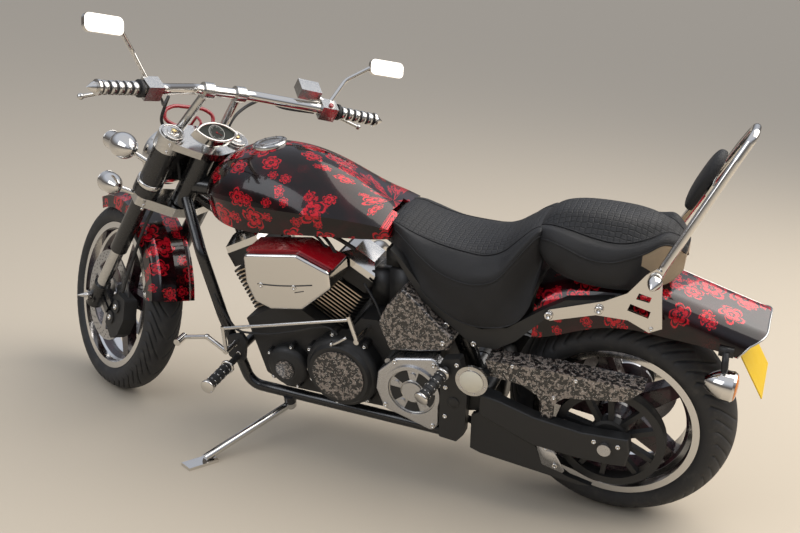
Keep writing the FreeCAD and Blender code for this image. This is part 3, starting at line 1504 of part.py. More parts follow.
def tail_light():
    """Slim lamp under the fender's tail, on the number plate's arm."""
    body = new_body("TailLight")
    front = -256 - 8 - S.seat_gap
    side_pad(body, -48, 48, [(front, 640), (front, 662), (-298, 662), (-306, 655), (-306, 645),
                             (-298, 638)])
    return body


def rear_signal():
    shell = new_body("RearSignalShell")
    turned(shell, outline(shell, "XY_Plane", 0, [
        (0, -72), (14, -69), (39, -22, 90), (40, 0), (36, 6), (0, 10)]))
    backward = Vector(-1, 0, -0.05)
    centre = Vector(-288, 150, 552)
    shell.Placement = Placement(centre, Rotation(LEFT, backward))
    stalk = rod("RearSignalStalk", Vector(-258, S.rear_fender_half_width + 9, 634),
                Vector(-264, 150, 566), 8)
    seat = block("RearSignalSeat", 34, 10, 22,
                 Vector(-258, S.rear_fender_half_width + S.seat_gap + 5, 634))
    return fused("RearSignalLeft", [shell, stalk, seat])


def rear_lamps():
    signal = rear_signal()
    return group("RearLamps", [tail_light(), signal, mirrored("RearSignalRight", signal)])


def plate_place(ahead):
    """The blank number plate's place, or one parallel to it nearer the wheel."""
    turn = Rotation(LEFT, 31)
    return Vector(-323.5, 0, 559) + turn.multVec(Vector(ahead, 0, 0)), turn


def number_plate():
    return block("NumberPlate", 3, 180, 145, *plate_place(0))


def plate_bracket():
    """Backing plate on a bent arm from under the fender's tail."""
    arm = tube("PlateArm", [Vector(-256, 0, 690.2), Vector(-256, 0, 604), Vector(-306, 0, 584)],
               8, 18)
    back = block("PlateBack", 3, 150, 118, *plate_place(3 + S.seat_gap))
    trimmed = cut("PlateArmTrimmed", arm, block("PlateArmRoom", 30, 100, 145, *plate_place(-11.7)))
    return fused("PlateBracket", [trimmed, back])


def side_covers():
    body = new_body("SideCoverLeft")
    side_pad(body, 124, 178, [
        (592, 659.2), (540, 617.2), (484, 567), (440, 532), (455, 492), (540, 470), (630, 454),
        (664, 538), (638, 596)])
    rounded(body, 10, straight_along(LEFT))
    rounded(body, 8, lying_at("Y", 178))
    return pair("SideCovers", body)


# Swingarm, guards and running gear

def swingarm():
    """Two deep arms outside the belt and the disc, on a cross tube ahead of the tyre."""
    arm = new_body("SwingarmLeft")
    low, high = S.swingarm_inner, S.swingarm_outer
    side_pad(arm, low, high, [
        (352, 396), (300, 388), (199, 361), (68, 348), (-58, 358), (-66, 316), (-58, 272),
        (-20, 266), (68, 262), (193, 270), (352, 330)])
    rounded(arm, 5, lying_at("Y", high))
    along, up = S.swingarm_pivot_along, S.swingarm_pivot_height
    side_pad(arm, low - 14, low + 2, [
        (352, 392), (300, 384), (290, 306), (352, 322), (along, up - 28), (along + 26, up),
        (along, up + 28)])
    side_disc(arm, 64, low, along, up, 30)
    side_pad(arm, 66, 84, [(along, up + 24), (along - 60, up + 18), (along - 60, up - 18),
                           (along, up - 24)])
    side_hole(arm, 60, low + 5, along, up, S.pivot_spindle + S.running_fit)
    side_hole(arm, low - 5, high + 5, 0, S.rear_radius, S.rear_axle)
    cross = cylinder("SwingarmCross", 20, 2 * (low - 6), Vector(along - 60, -low + 6, up), LEFT)
    return fused("Swingarm", [arm, mirrored("SwingarmRight", arm), cross])


def rear_axle_rod():
    seat = S.swingarm_outer
    pieces = [cylinder("RearAxleRod", S.rear_axle, 2 * seat, Vector(0, -seat, S.rear_radius), LEFT)]
    for name, way in (("Left", 1), ("Right", -1)):
        pieces.append(cylinder(f"RearNut{name}", 18, 11, Vector(0, way * seat, S.rear_radius),
                               LEFT * way))
    return fused("RearAxle", pieces)


def belt_guard():
    """Speckled guard over the belt's upper run: a shaped plate with a shelf and spikes on top."""
    body = new_body("BeltGuard")
    high = 192
    side_pad(body, high - 4, high, [
        (344, 501), (142, 510), (-78, 510), (-50, 478), (-29, 464), (122, 436), (140, 420),
        (156, 388), (176, 392), (196, 426), (240, 448), (327, 455)])
    side_pad(body, 126, high - 3, [(344, 501), (142, 510), (-78, 510), (-78, 506), (142, 506),
                                   (344, 497)])
    side_pad(body, S.swingarm_inner + 6, high - 3, [(150, 400), (150, 352), (182, 358), (182, 400)])
    spikes = [cone(f"GuardSpike{number}", 5, 0.6, 30, Vector(300 - 70 * number, 160, 499))
              for number in range(6)]
    return cut("BeltGuardSeated", fused("BeltGuardSpiked", [body] + spikes),
               block("GuardSeat", 60, 60, 120, Vector(166, 190, 299.7)))


def lower_guard():
    """Flat guard under the belt's lower run, with a plain plate on its rear end."""
    body = new_body("LowerGuard")
    side_pad(body, S.swingarm_inner + 2 + S.seat_gap, 190, [
        (376, 312), (350, 328.9), (200, 272.3), (160, 214), (100, 184), (27, 170), (60, 164),
        (150, 172), (346, 190), (376, 200)])
    return body


def peg_plates():
    """Deep cast plates outside the frame behind the engine."""
    body = new_body("PegPlateLeft")
    side_pad(body, plate_inner(), 208, [
        (462, 480), (411, 497), (386, 380), (390, 252), (412, 222), (464, 226), (465, 440)])
    rounded(body, 6, straight_along(LEFT))
    return pair("PegPlates", body)


def peg(name, start, end, grip_start, radius):
    """A footrest: a metal stub, then a ribbed rubber sleeve."""
    way = (end - start).normalize()
    stub = rod(f"{name}Stub", start, start + way * (grip_start + 1), radius * 0.6)
    sleeve = new_body(f"{name}Sleeve")
    length = (end - start).Length - grip_start
    profile = [(0, 0), (radius + 3, 0), (radius + 3, 8), (radius, 9)]
    for foot in (0.25, 0.5, 0.75):
        profile += [(radius, length * foot - 4), (radius - 2, length * foot - 3),
                    (radius - 2, length * foot + 3), (radius, length * foot + 4)]
    profile += [(radius, length - 8), (radius + 3, length - 7), (radius + 3, length), (0, length)]
    turned(sleeve, outline(sleeve, "XY_Plane", 0, profile))
    sleeve.Placement = Placement(start + way * grip_start, Rotation(LEFT, way))
    return fused(f"{name}Peg", [stub, sleeve])


def rider_footrest():
    """Forward footrest on a bracket from the cradle's down tube."""
    base = float(S.cradle_half_width + S.frame_tube)
    bracket = new_body("FootrestBracket")
    side_pad(bracket, base, base + 12, [(1178, 280), (1176, 352), (1128, 372), (1112, 350),
                                        (1122, 272)])
    rounded(bracket, 10, straight_along(LEFT))
    start = Vector(1142, base + 11, 290)
    step = peg("Rider", start, start + LEFT * (64 + S.peg_length), 64, 17)
    return fused("RiderFootrestLeft", [bracket, step])


def gear_shift():
    """Toe lever on the footrest bracket, its long rod and the arm on the gearbox shaft."""
    base = float(S.cradle_half_width + S.frame_tube) + 12
    side = 208
    pivot = Vector(1142, base, 345)
    pieces = [
        rod("ShiftPivot", pivot, Vector(1142, side + 6, 345), 8),
        rod("ToeLever", Vector(1142, side, 345), Vector(1205, side, 381), 7.5),
        ball("ToeElbow", 9, Vector(1205, side, 381)),
        rod("ToeReach", Vector(1205, side, 381), Vector(1290, side, 360), 6.5),
        cylinder("ToeRubber", 11, 44, Vector(1290, side - 8, 360), LEFT),
        rod("ShiftArm", Vector(1142, side, 345), Vector(1148, side, 430), 6),
        rod("ShiftRod", Vector(1152, side, 422), Vector(732, side, 547), 5),
        rod("ShaftArm", Vector(740, side, 556), Vector(714, side, 480), 6.5),
        rod("GearShaft", Vector(714, S.crankcase_half_width, 480), Vector(714, side + 6, 480), 8)]
    return fused("GearShift", pieces)


def brake_pedal():
    """Rear brake pedal on the right footrest bracket."""
    base = -float(S.cradle_half_width + S.frame_tube) - 12
    side = -208
    return fused("BrakePedal", [
        rod("PedalPivot", Vector(1142, base, 345), Vector(1142, side - 6, 345), 8),
        tube("PedalArm", [Vector(1142, side, 345), Vector(1200, side, 372),
                          Vector(1280, side - 6, 356)], 7, 40),
        block("PedalPad", 56, 44, 10, Vector(1296, side - 4, 362))])


def passenger_footrest():
    face = 208
    start = Vector(447, face, 456)
    rest = peg("Passenger", start, start + Vector(34, 104, -40), 14, 17)
    return cut("PassengerSeated", rest, block("PegSeat", 120, 60, 120,
                                              Vector(447, face + S.seat_gap - 30, 456)))


def footrests():
    rests = [rider_footrest(), passenger_footrest()]
    return group("Footrests", rests + [mirrored(f"{rest.Name}Right", rest) for rest in rests])


def foot_controls():
    return group("FootControls", [gear_shift(), brake_pedal()])


def rocker_covers():
    return group("RockerCovers", [rocker_cover("RockerCoverFront", 1),
                                  rocker_cover("RockerCoverRear", -1)])


def disc_holder():
    """Round flat holder with a plain face on the left plate."""
    return fused("DiscHolder", [
        cylinder("HolderCase", 46, 9, Vector(372, 208.3, 440), LEFT),
        cylinder("HolderFace", 34, 11, Vector(372, 208.3, 440), LEFT)])


def rear_caliper():
    """Caliper astride the rear disc, hung from the right arm."""
    place = S.rear_disc_place
    body = new_body("RearCaliper")
    side_pad(body, -place - 24, -place + 22, [
        (86, 395), (126, 424), (140, 490), (96, 500), (60, 470), (56, 420)])
    rounded(body, 8, straight_along(LEFT))
    slot = S.disc_thickness / 2 + 1.5
    side_hole(body, -place - slot, -place + slot, 0, S.rear_radius, S.rear_disc_radius + 3)
    side_pad(body, -S.swingarm_inner + S.seat_gap, -place - 20, [
        (82, 410), (82, 318), (132, 322), (128, 440)])
    return body


# Side stand, folding back under the cradle

def stand_points():
    pivot = Vector(S.stand_along, S.stand_side, S.stand_height)
    foot = Vector(S.stand_foot_along, S.stand_foot_side,
                  floor_height(S.stand_foot_along, S.stand_foot_side))
    return pivot, foot


def stand_fold():
    """The stand's pivot axis and its travel from down to folded."""
    pivot, foot = stand_points()
    down = (foot + floor_normal * 14 - pivot).normalize()
    folded = Vector(-0.99, 0.1, -0.02).normalize()
    axis = down.cross(folded).normalize()
    return axis, math.degrees(down.getAngle(folded))


def stand_lug():
    """The frame's lug for the side stand, with the pivot pin and its head."""
    pivot, foot = stand_points()
    axis = stand_fold()[0]
    return fused("StandLug", [
        cylinder("LugBody", 19, 26, pivot + axis * 9, axis),
        cylinder("LugPin", S.stand_pin, 26, pivot - axis * 14, axis),
        cylinder("LugPinHead", S.stand_pin + 5, 6, pivot - axis * 15, axis)])


def side_stand():
    """Leg with an eye at the pivot and a flat blade foot on the floor."""
    pivot, foot = stand_points()
    axis = stand_fold()[0]
    toe = foot + floor_normal * 14
    along = Vector(toe.x - pivot.x, toe.y - pivot.y, 0).normalize()
    blade_x = along - floor_normal * along.dot(floor_normal)
    turn = Rotation(blade_x, floor_normal.cross(blade_x), floor_normal, "ZXY")
    down = (toe - pivot).normalize()
    pieces = [
        cylinder("StandEye", 18, 16.5, pivot - axis * 8.5, axis),
        block("StandNeck", 30, 18, 15, pivot + down * 22,
              Rotation(down, axis.cross(down), axis, "ZXY")),
        rod("StandLeg", pivot + down * (19 + 3), toe, S.stand_tube),
        block("StandBlade", 100, 44, 9, foot + floor_normal * 4.5 + blade_x * 16, turn)]
    bore = cylinder("StandBore", S.stand_pin + S.running_fit, 60, pivot - axis * 30, axis)
    return cut("SideStand", fused("StandRaw", pieces), bore)


def build_chassis():
    rows = [
        ("frame_backbone", frame_backbone()), ("frame_cradle", frame_cradle()),
        ("seat_rails", seat_rails()), ("crankcase", crankcase()),
        ("cylinder_front", engine_cylinder("CylinderFront", 1)),
        ("cylinder_rear", engine_cylinder("CylinderRear", -1)),
        ("rocker_covers", rocker_covers()), ("engine_covers", engine_covers()),
        ("cover_insets", cover_insets()), ("air_cleaner", air_cleaner()),
        ("air_cleaner_strip", air_cleaner_strip()), ("exhaust", exhaust()),
        ("drive_belt", drive_belt()), ("pulley_cover", pulley_cover()), ("fuel_tank", fuel_tank()),
        ("fuel_cap", fuel_cap()), ("rider_seat", rider_seat()),
        ("passenger_seat", passenger_seat()), ("rear_fender", rear_fender()),
        ("backrest_frame", backrest_frame()), ("backrest_pad", sissy_pad()),
        ("rear_lamps", rear_lamps()), ("number_plate", number_plate()),
        ("plate_bracket", plate_bracket()), ("side_covers", side_covers()),
        ("swingarm", swingarm()), ("rear_axle", rear_axle_rod()), ("belt_guard", belt_guard()),
        ("lower_guard", lower_guard()), ("peg_plates", peg_plates()), ("footrests", footrests()),
        ("foot_controls", foot_controls()), ("disc_holder", disc_holder()),
        ("rear_caliper", rear_caliper()),
    ]
    for name, thing in rows:
        node(name, "chassis", thing)


build_chassis()
build_fork()
build_wheels()
node("side_stand", "side_stand", side_stand())
doc.recompute()

# Where each frame stands in the parked machine

rest_steer = steered(-S.steer_lock)
FRAMES = {
    "chassis": Placement(),
    "side_stand": Placement(),
    "fork": rest_steer.multiply(fork_frame),
    "front_wheel": rest_steer.multiply(fork_frame),
    "rear_wheel": Placement(Vector(0, 0, S.rear_radius), Rotation()),
}


def settle(parked):
    """Sets every sub-part's placement for one placement of the whole machine."""
    for name, frame, thing, place in nodes:
        thing.Placement = parked.multiply(FRAMES[frame]).multiply(place)


settle(Placement(Vector(), ride_turn))
doc.recompute()
whole = FreeCAD.BoundBox()
for name, frame, thing, place in nodes:
    whole.add(thing.Shape.BoundBox)
rear_contact, front_contact = contacts(ride_turn)
parked = Placement(Vector(-whole.Center.x, -whole.Center.y, -rear_contact.z), ride_turn)
settle(parked)
doc.recompute()

# Checks, then one file for each sub-part

failed = [f"{thing.Name}: {thing.getStatusString()}" for thing in doc.Objects
          if "Invalid" in thing.State or "Error" in thing.State]
failed += [name for name, frame, thing, place in nodes
           if thing.Shape.isNull() or not thing.Shape.isValid()]
if failed:
    raise RuntimeError("These did not build: " + ", ".join(failed))

os.makedirs("parts", exist_ok=True)
for name, frame, thing, place in nodes:
    thing.Shape.exportStep(f"parts/{name}.step")
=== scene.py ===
import json
import math

import bpy
import numpy
from mathutils import Matrix, Vector


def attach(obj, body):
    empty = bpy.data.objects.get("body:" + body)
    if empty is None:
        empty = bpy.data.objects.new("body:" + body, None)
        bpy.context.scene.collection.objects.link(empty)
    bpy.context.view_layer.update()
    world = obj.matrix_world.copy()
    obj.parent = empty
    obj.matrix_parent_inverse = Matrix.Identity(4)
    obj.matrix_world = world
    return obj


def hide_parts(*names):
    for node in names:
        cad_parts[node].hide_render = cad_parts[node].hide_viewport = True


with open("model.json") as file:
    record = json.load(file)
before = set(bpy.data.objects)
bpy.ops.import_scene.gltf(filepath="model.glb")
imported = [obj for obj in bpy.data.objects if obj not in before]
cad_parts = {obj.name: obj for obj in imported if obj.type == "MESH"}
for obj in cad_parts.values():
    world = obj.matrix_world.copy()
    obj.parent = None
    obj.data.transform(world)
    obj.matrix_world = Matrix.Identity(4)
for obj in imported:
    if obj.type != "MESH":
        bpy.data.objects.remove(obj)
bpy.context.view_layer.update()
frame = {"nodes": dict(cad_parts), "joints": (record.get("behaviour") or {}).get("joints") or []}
joints = {joint["name"]: joint for joint in frame["joints"]}
nodes = frame["nodes"]
scene = bpy.context.scene


# Frames: every measure below is in millimetres in one of them

def axes_frame(origin, across, up):
    """Matrix from a frame in millimetres to the row frame, from its origin, left and up."""
    left = Vector(across).normalized()
    top = Vector(up).normalized()
    forward = left.cross(top).normalized()
    top = forward.cross(left)
    turn = Matrix((forward, left, top)).transposed().to_4x4()
    return Matrix.Translation(Vector(origin)) @ turn @ Matrix.Scale(0.001, 4)


RAKE = math.radians(30)
steering = joints["steering"]
front_spin = joints["front_wheel_spin"]
rear_spin = joints["rear_wheel_spin"]
rear_left = Vector(rear_spin["axis"]).normalized()
steer_up = Vector(steering["axis"]).normalized()
ahead = (rear_left.cross(steer_up) * math.cos(RAKE) - steer_up * math.sin(RAKE)).normalized()
bike_up = ahead.cross(rear_left)
REAR_RADIUS = 316
BIKE = axes_frame(Vector(rear_spin["pos_m"]) - bike_up * REAR_RADIUS / 1000, rear_left, bike_up)
REAR = axes_frame(rear_spin["pos_m"], rear_left, bike_up)
FORK = axes_frame(front_spin["pos_m"], front_spin["axis"], steer_up)


# Nodes of the sky and the materials

class Nodes:
    """A tree of nodes; values are numbers, colours or other nodes' sockets."""

    def __init__(self, owner):
        owner.use_nodes = True
        self.tree = owner.node_tree

    def feed(self, socket, value):
        if isinstance(value, bpy.types.NodeSocket):
            self.tree.links.new(value, socket)
        else:
            socket.default_value = (*value, 1) if socket.type == "RGBA" else value

    def node(self, kind, inputs, **settings):
        node = self.tree.nodes.new(kind)
        for key, value in settings.items():
            setattr(node, key, value)
        for key, value in inputs.items():
            self.feed(node.inputs[key], value)
        return node

    def add(self, kind, *values, out=0, **settings):
        return self.node(kind, dict(enumerate(values)), **settings).outputs[out]

    def calc(self, operation, *values):
        return self.add("ShaderNodeMath", *values, operation=operation)

    def plus(self, *values):
        return self.calc("ADD", *values)

    def minus(self, *values):
        return self.calc("SUBTRACT", *values)

    def times(self, *values):
        return self.calc("MULTIPLY", *values)

    def vector(self, operation, *values, out=0):
        return self.add("ShaderNodeVectorMath", *values, operation=operation, out=out)

    def parts(self, vector):
        return tuple(self.node("ShaderNodeSeparateXYZ", {0: vector}).outputs)


class Shade(Nodes):
    """A material with the principled surface."""

    def __init__(self, name, colour, rough=0.5, metallic=0.0, **inputs):
        self.material = bpy.data.materials.new(name)
        super().__init__(self.material)
        self.surface = self.tree.nodes["Principled BSDF"]
        self.set(Base_Color=colour, Roughness=rough, Metallic=metallic, **inputs)

    def set(self, **inputs):
        """Sets inputs of the surface, each named with _ for a space."""
        for key, value in inputs.items():
            self.feed(self.surface.inputs[key.replace("_", " ")], value)

    def place(self, matrix=None):
        """Object coordinates, in the frame that the matrix leads from, in its millimetres."""
        here = self.add("ShaderNodeTexCoord", out=3)
        if matrix is None:
            return here
        turn = matrix.inverted().to_3x3()
        moved = self.vector("SUBTRACT", here, matrix.translation)
        rows = [self.vector("DOT_PRODUCT", moved, row, out=1) for row in turn]
        return self.add("ShaderNodeCombineXYZ", *rows)

    def noise(self, scale, detail, rough=0.5, vector=None, twist=0.0):
        return self.node("ShaderNodeTexNoise", {
            "Vector": vector or self.place(), "Scale": scale, "Detail": detail,
            "Roughness": rough, "Distortion": twist}).outputs[0]

    def cells(self, scale, vector=None, feature="F1", random_place=1.0, dimensions="3D"):
        return self.node("ShaderNodeTexVoronoi", {
            "Vector": vector or self.place(), "Scale": scale, "Randomness": random_place},
            voronoi_dimensions=dimensions, feature=feature)

    def step(self, value, low, high, start=0.0, end=1.0):
        """A smooth step from start to end while value goes from low to high."""
        return self.add("ShaderNodeMapRange", value, low, high, start, end,
                        interpolation_type="SMOOTHSTEP")

    def blend(self, factor, first, second):
        """A mix of two colours."""
        return self.node("ShaderNodeMix", {0: factor, 6: first, 7: second},
                         data_type="RGBA").outputs[2]

    def fade(self, factor, first, second):
        """A mix of two numbers."""
        return self.node("ShaderNodeMix", {0: factor, 2: first, 3: second},
                         data_type="FLOAT").outputs[0]

    def reach(self, first, second):
        """How far a point is from an axis, from its two places across it."""
        return self.calc("SQRT", self.plus(self.times(first, first), self.times(second, second)))

    def relief(self, height, depth, strength):
        bump = self.node("ShaderNodeBump", {"Height": height, "Distance": depth,
                                            "Strength": strength})
        self.set(Normal=bump.outputs[0])
        return self


# Camera at the photograph's place, and the stage

EYE = Vector((-330.3, 2509.0, 2041.9))
YAW = math.radians(-68.29)
PITCH = math.radians(-27.67)
ROLL = math.radians(0.46)
FOCAL_PIXELS = 1059.2
PHOTO_WIDTH = 800
SENSOR_WIDTH = 36
FAR_CLIP = 2000


def link(name, data):
    """A new object in the scene, with this data."""
    thing = bpy.data.objects.new(name, data)
    scene.collection.objects.link(thing)
    return thing


def place_camera():
    look = Vector((math.cos(PITCH) * math.cos(YAW), math.cos(PITCH) * math.sin(YAW),
                   math.sin(PITCH)))
    right = look.cross(Vector((0, 0, 1))).normalized()
    top = right.cross(look)
    tilted_right = right * math.cos(ROLL) + top * math.sin(ROLL)
    tilted_top = top * math.cos(ROLL) - right * math.sin(ROLL)
    turn = Matrix((tilted_right, tilted_top, -look)).transposed()
    bike_turn = BIKE.to_3x3().normalized()
    data = bpy.data.cameras.new("Camera")
    data.sensor_fit = "HORIZONTAL"
    data.sensor_width = SENSOR_WIDTH
    data.lens = FOCAL_PIXELS / PHOTO_WIDTH * SENSOR_WIDTH
    data.clip_end = FAR_CLIP
    camera = link("Camera", data)
    camera.matrix_world = Matrix.Translation(BIKE @ EYE) @ (bike_turn @ turn).to_4x4()
    scene.camera = camera


def area_light(name, place, target, size, power, colour):
    data = bpy.data.lights.new(name, "AREA")
    data.shape = "RECTANGLE"
    data.size, data.size_y = size
    data.energy = power
    data.color = colour
    lamp = link(name, data)
    lamp.location = place
    lamp.rotation_euler = (Vector(target) - Vector(place)).to_track_quat("-Z", "Y").to_euler()


# Name, place, target and size in metres, watts, colour
LIGHTS = [
    ("Key", (-2.4, -1.2, 3.8), (0, 0, 0.4), (5.0, 5.0), 230, (1.0, 0.94, 0.86)),
    ("Fill", (2.4, 3.6, 3.2), (0.2, 0, 0.5), (3.2, 2.4), 60, (0.95, 0.97, 1.0)),
]
SKY_STRENGTH = 0.75
# Height of the direction, 0 straight down to 1 straight up, and its colour
SKY = [
    (0.0, (0.30, 0.26, 0.22)),
    (0.46, (0.20, 0.17, 0.15)),
    (0.52, (0.2, 0.18, 0.165)),
    (0.60, (0.24, 0.23, 0.23)),
    (0.68, (0.5, 0.53, 0.6)),
    (0.78, (0.86, 0.92, 1.05)),
    (1.0, (0.95, 0.98, 1.05)),
]


def light_world():
    """Bright sky over a darker skyline, so that polished metal shows both."""
    scene.world = bpy.data.worlds.new("World")
    sky = Nodes(scene.world)
    height = sky.add("ShaderNodeMapRange", sky.parts(sky.add("ShaderNodeTexCoord"))[2], -1)
    ramp = sky.node("ShaderNodeValToRGB", {0: height})
    stops = ramp.color_ramp.elements
    for index, (place, colour) in enumerate(SKY):
        stop = stops[index] if index < 2 else stops.new(place)
        stop.position = place
        stop.color = (*colour, 1)
    background = sky.tree.nodes["Background"].inputs
    sky.feed(background["Color"], ramp.outputs[0])
    sky.feed(background["Strength"], SKY_STRENGTH)


place_camera()
light_world()
for light in LIGHTS:
    area_light(*light)
scene.view_settings.view_transform = "Standard"


# Materials

def tinted(colour, share, lift=0.0):
    """The colour made darker or lighter."""
    return tuple(part * share + lift for part in colour)


def chrome(name):
    """Warm polished metal with faint smudges."""
    shade = Shade(name, (0.7, 0.68, 0.65), metallic=1.0)
    shade.set(Roughness=shade.step(shade.noise(9, 4), 0.3, 0.75, 0.06, 0.15))
    return shade


def brushed(name, colour, rough, matrix, stretch):
    """Metal with fine lines across one way of the frame."""
    shade = Shade(name, colour, metallic=1.0)
    lines = shade.noise(1.0, 3, 0.6, shade.vector("MULTIPLY", shade.place(matrix), stretch))
    shade.set(Roughness=shade.step(lines, 0.25, 0.75, rough, rough + 0.16),
              Base_Color=shade.blend(shade.step(lines, 0.3, 0.7), colour, tinted(colour, 0.82)))
    return shade.relief(lines, 0.0002, 0.35)


def painted(name, colour, rough, dust=0.25, coat=0.0):
    """Enamel under a little dust."""
    shade = Shade(name, colour, rough, Coat_Weight=coat, Coat_Roughness=0.05)
    wear_and_sunlight = shade.noise(34, 5, 0.6)
    shade.set(Base_Color=shade.blend(shade.step(wear_and_sunlight, 0.45, 0.85, 0.0, dust), colour,
                                     tinted(colour, 1, 0.02)),
              Roughness=shade.step(wear_and_sunlight, 0.3, 0.7, rough, rough + 0.12))
    return shade.relief(shade.noise(900, 2), 0.0001, 0.3)


def rosette(shade, flat, size, shift, petals, share):
    """One layer of petalled flowers on a loose grid; share is how many places have one.

    The petals number twice the value given, because the swing has no sign.
    """
    looseness = 0.8
    smallest, largest = 0.3, 0.46
    curl = 0.9
    roundness = 0.6
    raggedness = 0.7
    ring_pitch, ring_drift = 12.0, 5.0
    moved = shade.vector("ADD", flat, (shift, shift * 0.6, 0.0))
    grid = shade.cells(1 / size, moved, random_place=looseness, dimensions="2D")
    local = shade.vector("SUBTRACT", moved, grid.outputs["Position"])
    u, v, _ = shade.parts(local)
    tint = shade.parts(grid.outputs["Color"])
    radius = shade.step(tint[0], 0.0, 1.0, size * smallest, size * largest)
    ratio = shade.calc("DIVIDE", shade.vector("LENGTH", local, out=1), radius)
    angle = shade.plus(shade.calc("ARCTAN2", v, u), shade.times(tint[1], 6.3))
    twist = shade.plus(angle, shade.times(ratio, curl))
    swing = shade.calc("ABSOLUTE", shade.calc("COSINE", shade.times(twist, petals)))
    swell = shade.calc("POWER", swing, roundness)
    wobble = shade.noise(0.06, 4, 0.6, moved)
    uneven = shade.times(shade.minus(wobble, 0.5), raggedness)
    edge = shade.plus(shade.plus(0.5, shade.times(swell, 0.5)), uneven)
    depth = shade.calc("DIVIDE", ratio, edge)
    rings = shade.calc("SINE", shade.plus(shade.times(depth, ring_pitch),
                                          shade.times(wobble, ring_drift)))
    body = shade.times(shade.step(depth, 1.0, 0.9), shade.step(rings, -0.8, -0.2, 0.04, 1.0))
    return shade.times(body, shade.step(tint[2], 1 - share, 1.02 - share))


# Size in millimetres, shift of its grid, half its petals, share of places
LARGE_FLOWER = (100, 0.0, 2.5, 0.92)
SMALL_FLOWER = (48, 400.0, 3.0, 0.5)


def flower_field(shade, across, along):
    """How red a point is, 0 to 1: two sizes of flower, worn thin by streaks."""
    flat = shade.add("ShaderNodeCombineXYZ", along, across, 0.0)
    large = rosette(shade, flat, *LARGE_FLOWER)
    small = rosette(shade, flat, *SMALL_FLOWER)
    total = shade.calc("MAXIMUM", large, small)
    streak = shade.noise(0.13, 5, 0.8, shade.vector("MULTIPLY", flat, (1.0, 1.9, 1.0)))
    return shade.times(total, shade.step(streak, 0.36, 0.52, 0.03, 1.0))


def flower_paint(name, matrix, centre, girth, wheel=None):
    """Black-cherry gloss with red flowers; the pattern wraps round a body's long axis.

    On a fender that axis bends round the wheel, whose height is given.
    """
    shade = Shade(name, (0.02, 0.003, 0.006), 0.16, Coat_Weight=0.5, Coat_Roughness=0.02,
                  Specular_IOR_Level=0.2)
    here = shade.place(matrix)
    x, y, z = shade.parts(here)
    if wheel is None:
        along = x
        height = shade.minus(z, centre)
    else:
        up = shade.minus(z, wheel)
        along = shade.times(shade.calc("ARCTAN2", up, x), centre)
        height = shade.minus(shade.reach(x, up), centre - girth)
    across = shade.times(shade.calc("ARCTAN2", y, height), girth)
    red = flower_field(shade, across, along)
    cloud = shade.step(shade.noise(0.012, 3, 0.6, here), 0.4, 0.75)
    ground = shade.blend(cloud, (0.005, 0.0015, 0.002), (0.03, 0.002, 0.004))
    tone = shade.blend(shade.noise(0.05, 2, 0.5, here), (0.42, 0.003, 0.01), (0.85, 0.015, 0.035))
    shade.set(Base_Color=shade.blend(red, ground, tone), Metallic=shade.times(red, 0.3))
    return shade


def speckle(name, matrix):
    """Taupe enamel under irregular black blots and small pale flecks."""
    shade = Shade(name, (0.3, 0.26, 0.22), 0.3, Coat_Weight=0.7, Coat_Roughness=0.08)
    here = shade.place(matrix)
    cloud = shade.noise(0.09, 4, 0.62, here, 0.6)
    fine = shade.noise(0.21, 4, 0.7, here, 0.4)
    ground = shade.blend(shade.step(fine, 0.3, 0.7), (0.16, 0.13, 0.11), (0.34, 0.29, 0.25))
    inked = shade.blend(shade.step(cloud, 0.46, 0.49), ground, (0.01, 0.009, 0.009))
    fleck = shade.step(shade.cells(0.17, here).outputs["Distance"], 0.14, 0.18, 1.0, 0.0)
    shade.set(Base_Color=shade.blend(fleck, inked, (0.72, 0.7, 0.66)))
    return shade.relief(fine, 0.0003, 0.15)


def rubber(name, colour=(0.018, 0.018, 0.019), rough=0.62):
    """Matt rubber, dusty in places."""
    shade = Shade(name, colour, rough)
    dusty = shade.noise(22, 6, 0.7)
    shade.set(Base_Color=shade.blend(shade.step(dusty, 0.45, 0.8), colour, (0.06, 0.056, 0.05)),
              Roughness=shade.step(dusty, 0.3, 0.8, rough - 0.08, rough + 0.15))
    return shade.relief(shade.noise(600, 3), 0.0002, 0.5)


def leather(name, colour, scales=False):
    """Grained leather, worn lighter in places; the scaled kind has stamped plates."""
    shade = Shade(name, colour, Specular_IOR_Level=0.4)
    grain = shade.cells(420, feature="DISTANCE_TO_EDGE").outputs["Distance"]
    wear_and_sunlight = shade.noise(12, 4, 0.6)
    height = shade.step(grain, 0.0, 0.12)
    tone = shade.blend(shade.step(wear_and_sunlight, 0.4, 0.8, 0.0, 0.7), colour, tinted(colour, 1.6, 0.008))
    if scales:
        flat = shade.vector("MULTIPLY", shade.place(BIKE), (1 / 15, 1 / 11, 0.0))
        plate = shade.cells(1.0, flat, "DISTANCE_TO_EDGE", 0.25, "2D")
        raised = shade.step(plate.outputs["Distance"], 0.03, 0.16)
        height = shade.plus(shade.times(height, 0.12), raised)
        tone = shade.blend(raised, tinted(colour, 0.4), tone)
    shade.set(Base_Color=tone, Roughness=shade.step(wear_and_sunlight, 0.3, 0.7, 0.4, 0.58))
    return shade.relief(height, 0.0012 if scales else 0.0004, 0.8)


def sunlit_leather(name, colour, wear_and_sunlight):
    """Leather with a pale tan patch of painted sunlight at the rear, behind a curved edge."""
    edge_front, edge_curve = -24, 33
    edge_top, edge_foot = 827, 790
    shade = leather(name, colour)
    here = shade.place(BIKE)
    x, _, z = shade.parts(here)
    drop = shade.calc("SQRT", shade.step(z, edge_top, edge_foot))
    edge = shade.minus(edge_front, shade.times(drop, edge_curve))
    behind = shade.step(shade.minus(edge, x), 0.0, 1.5)
    # Painted sunlight: a tan, a little uneven, on the part behind the curved edge
    tint = shade.blend(shade.noise(0.02, 4, 0.6, here), wear_and_sunlight, tinted(wear_and_sunlight, 0.75))
    shade.set(Base_Color=shade.blend(behind, colour, tint))
    return shade


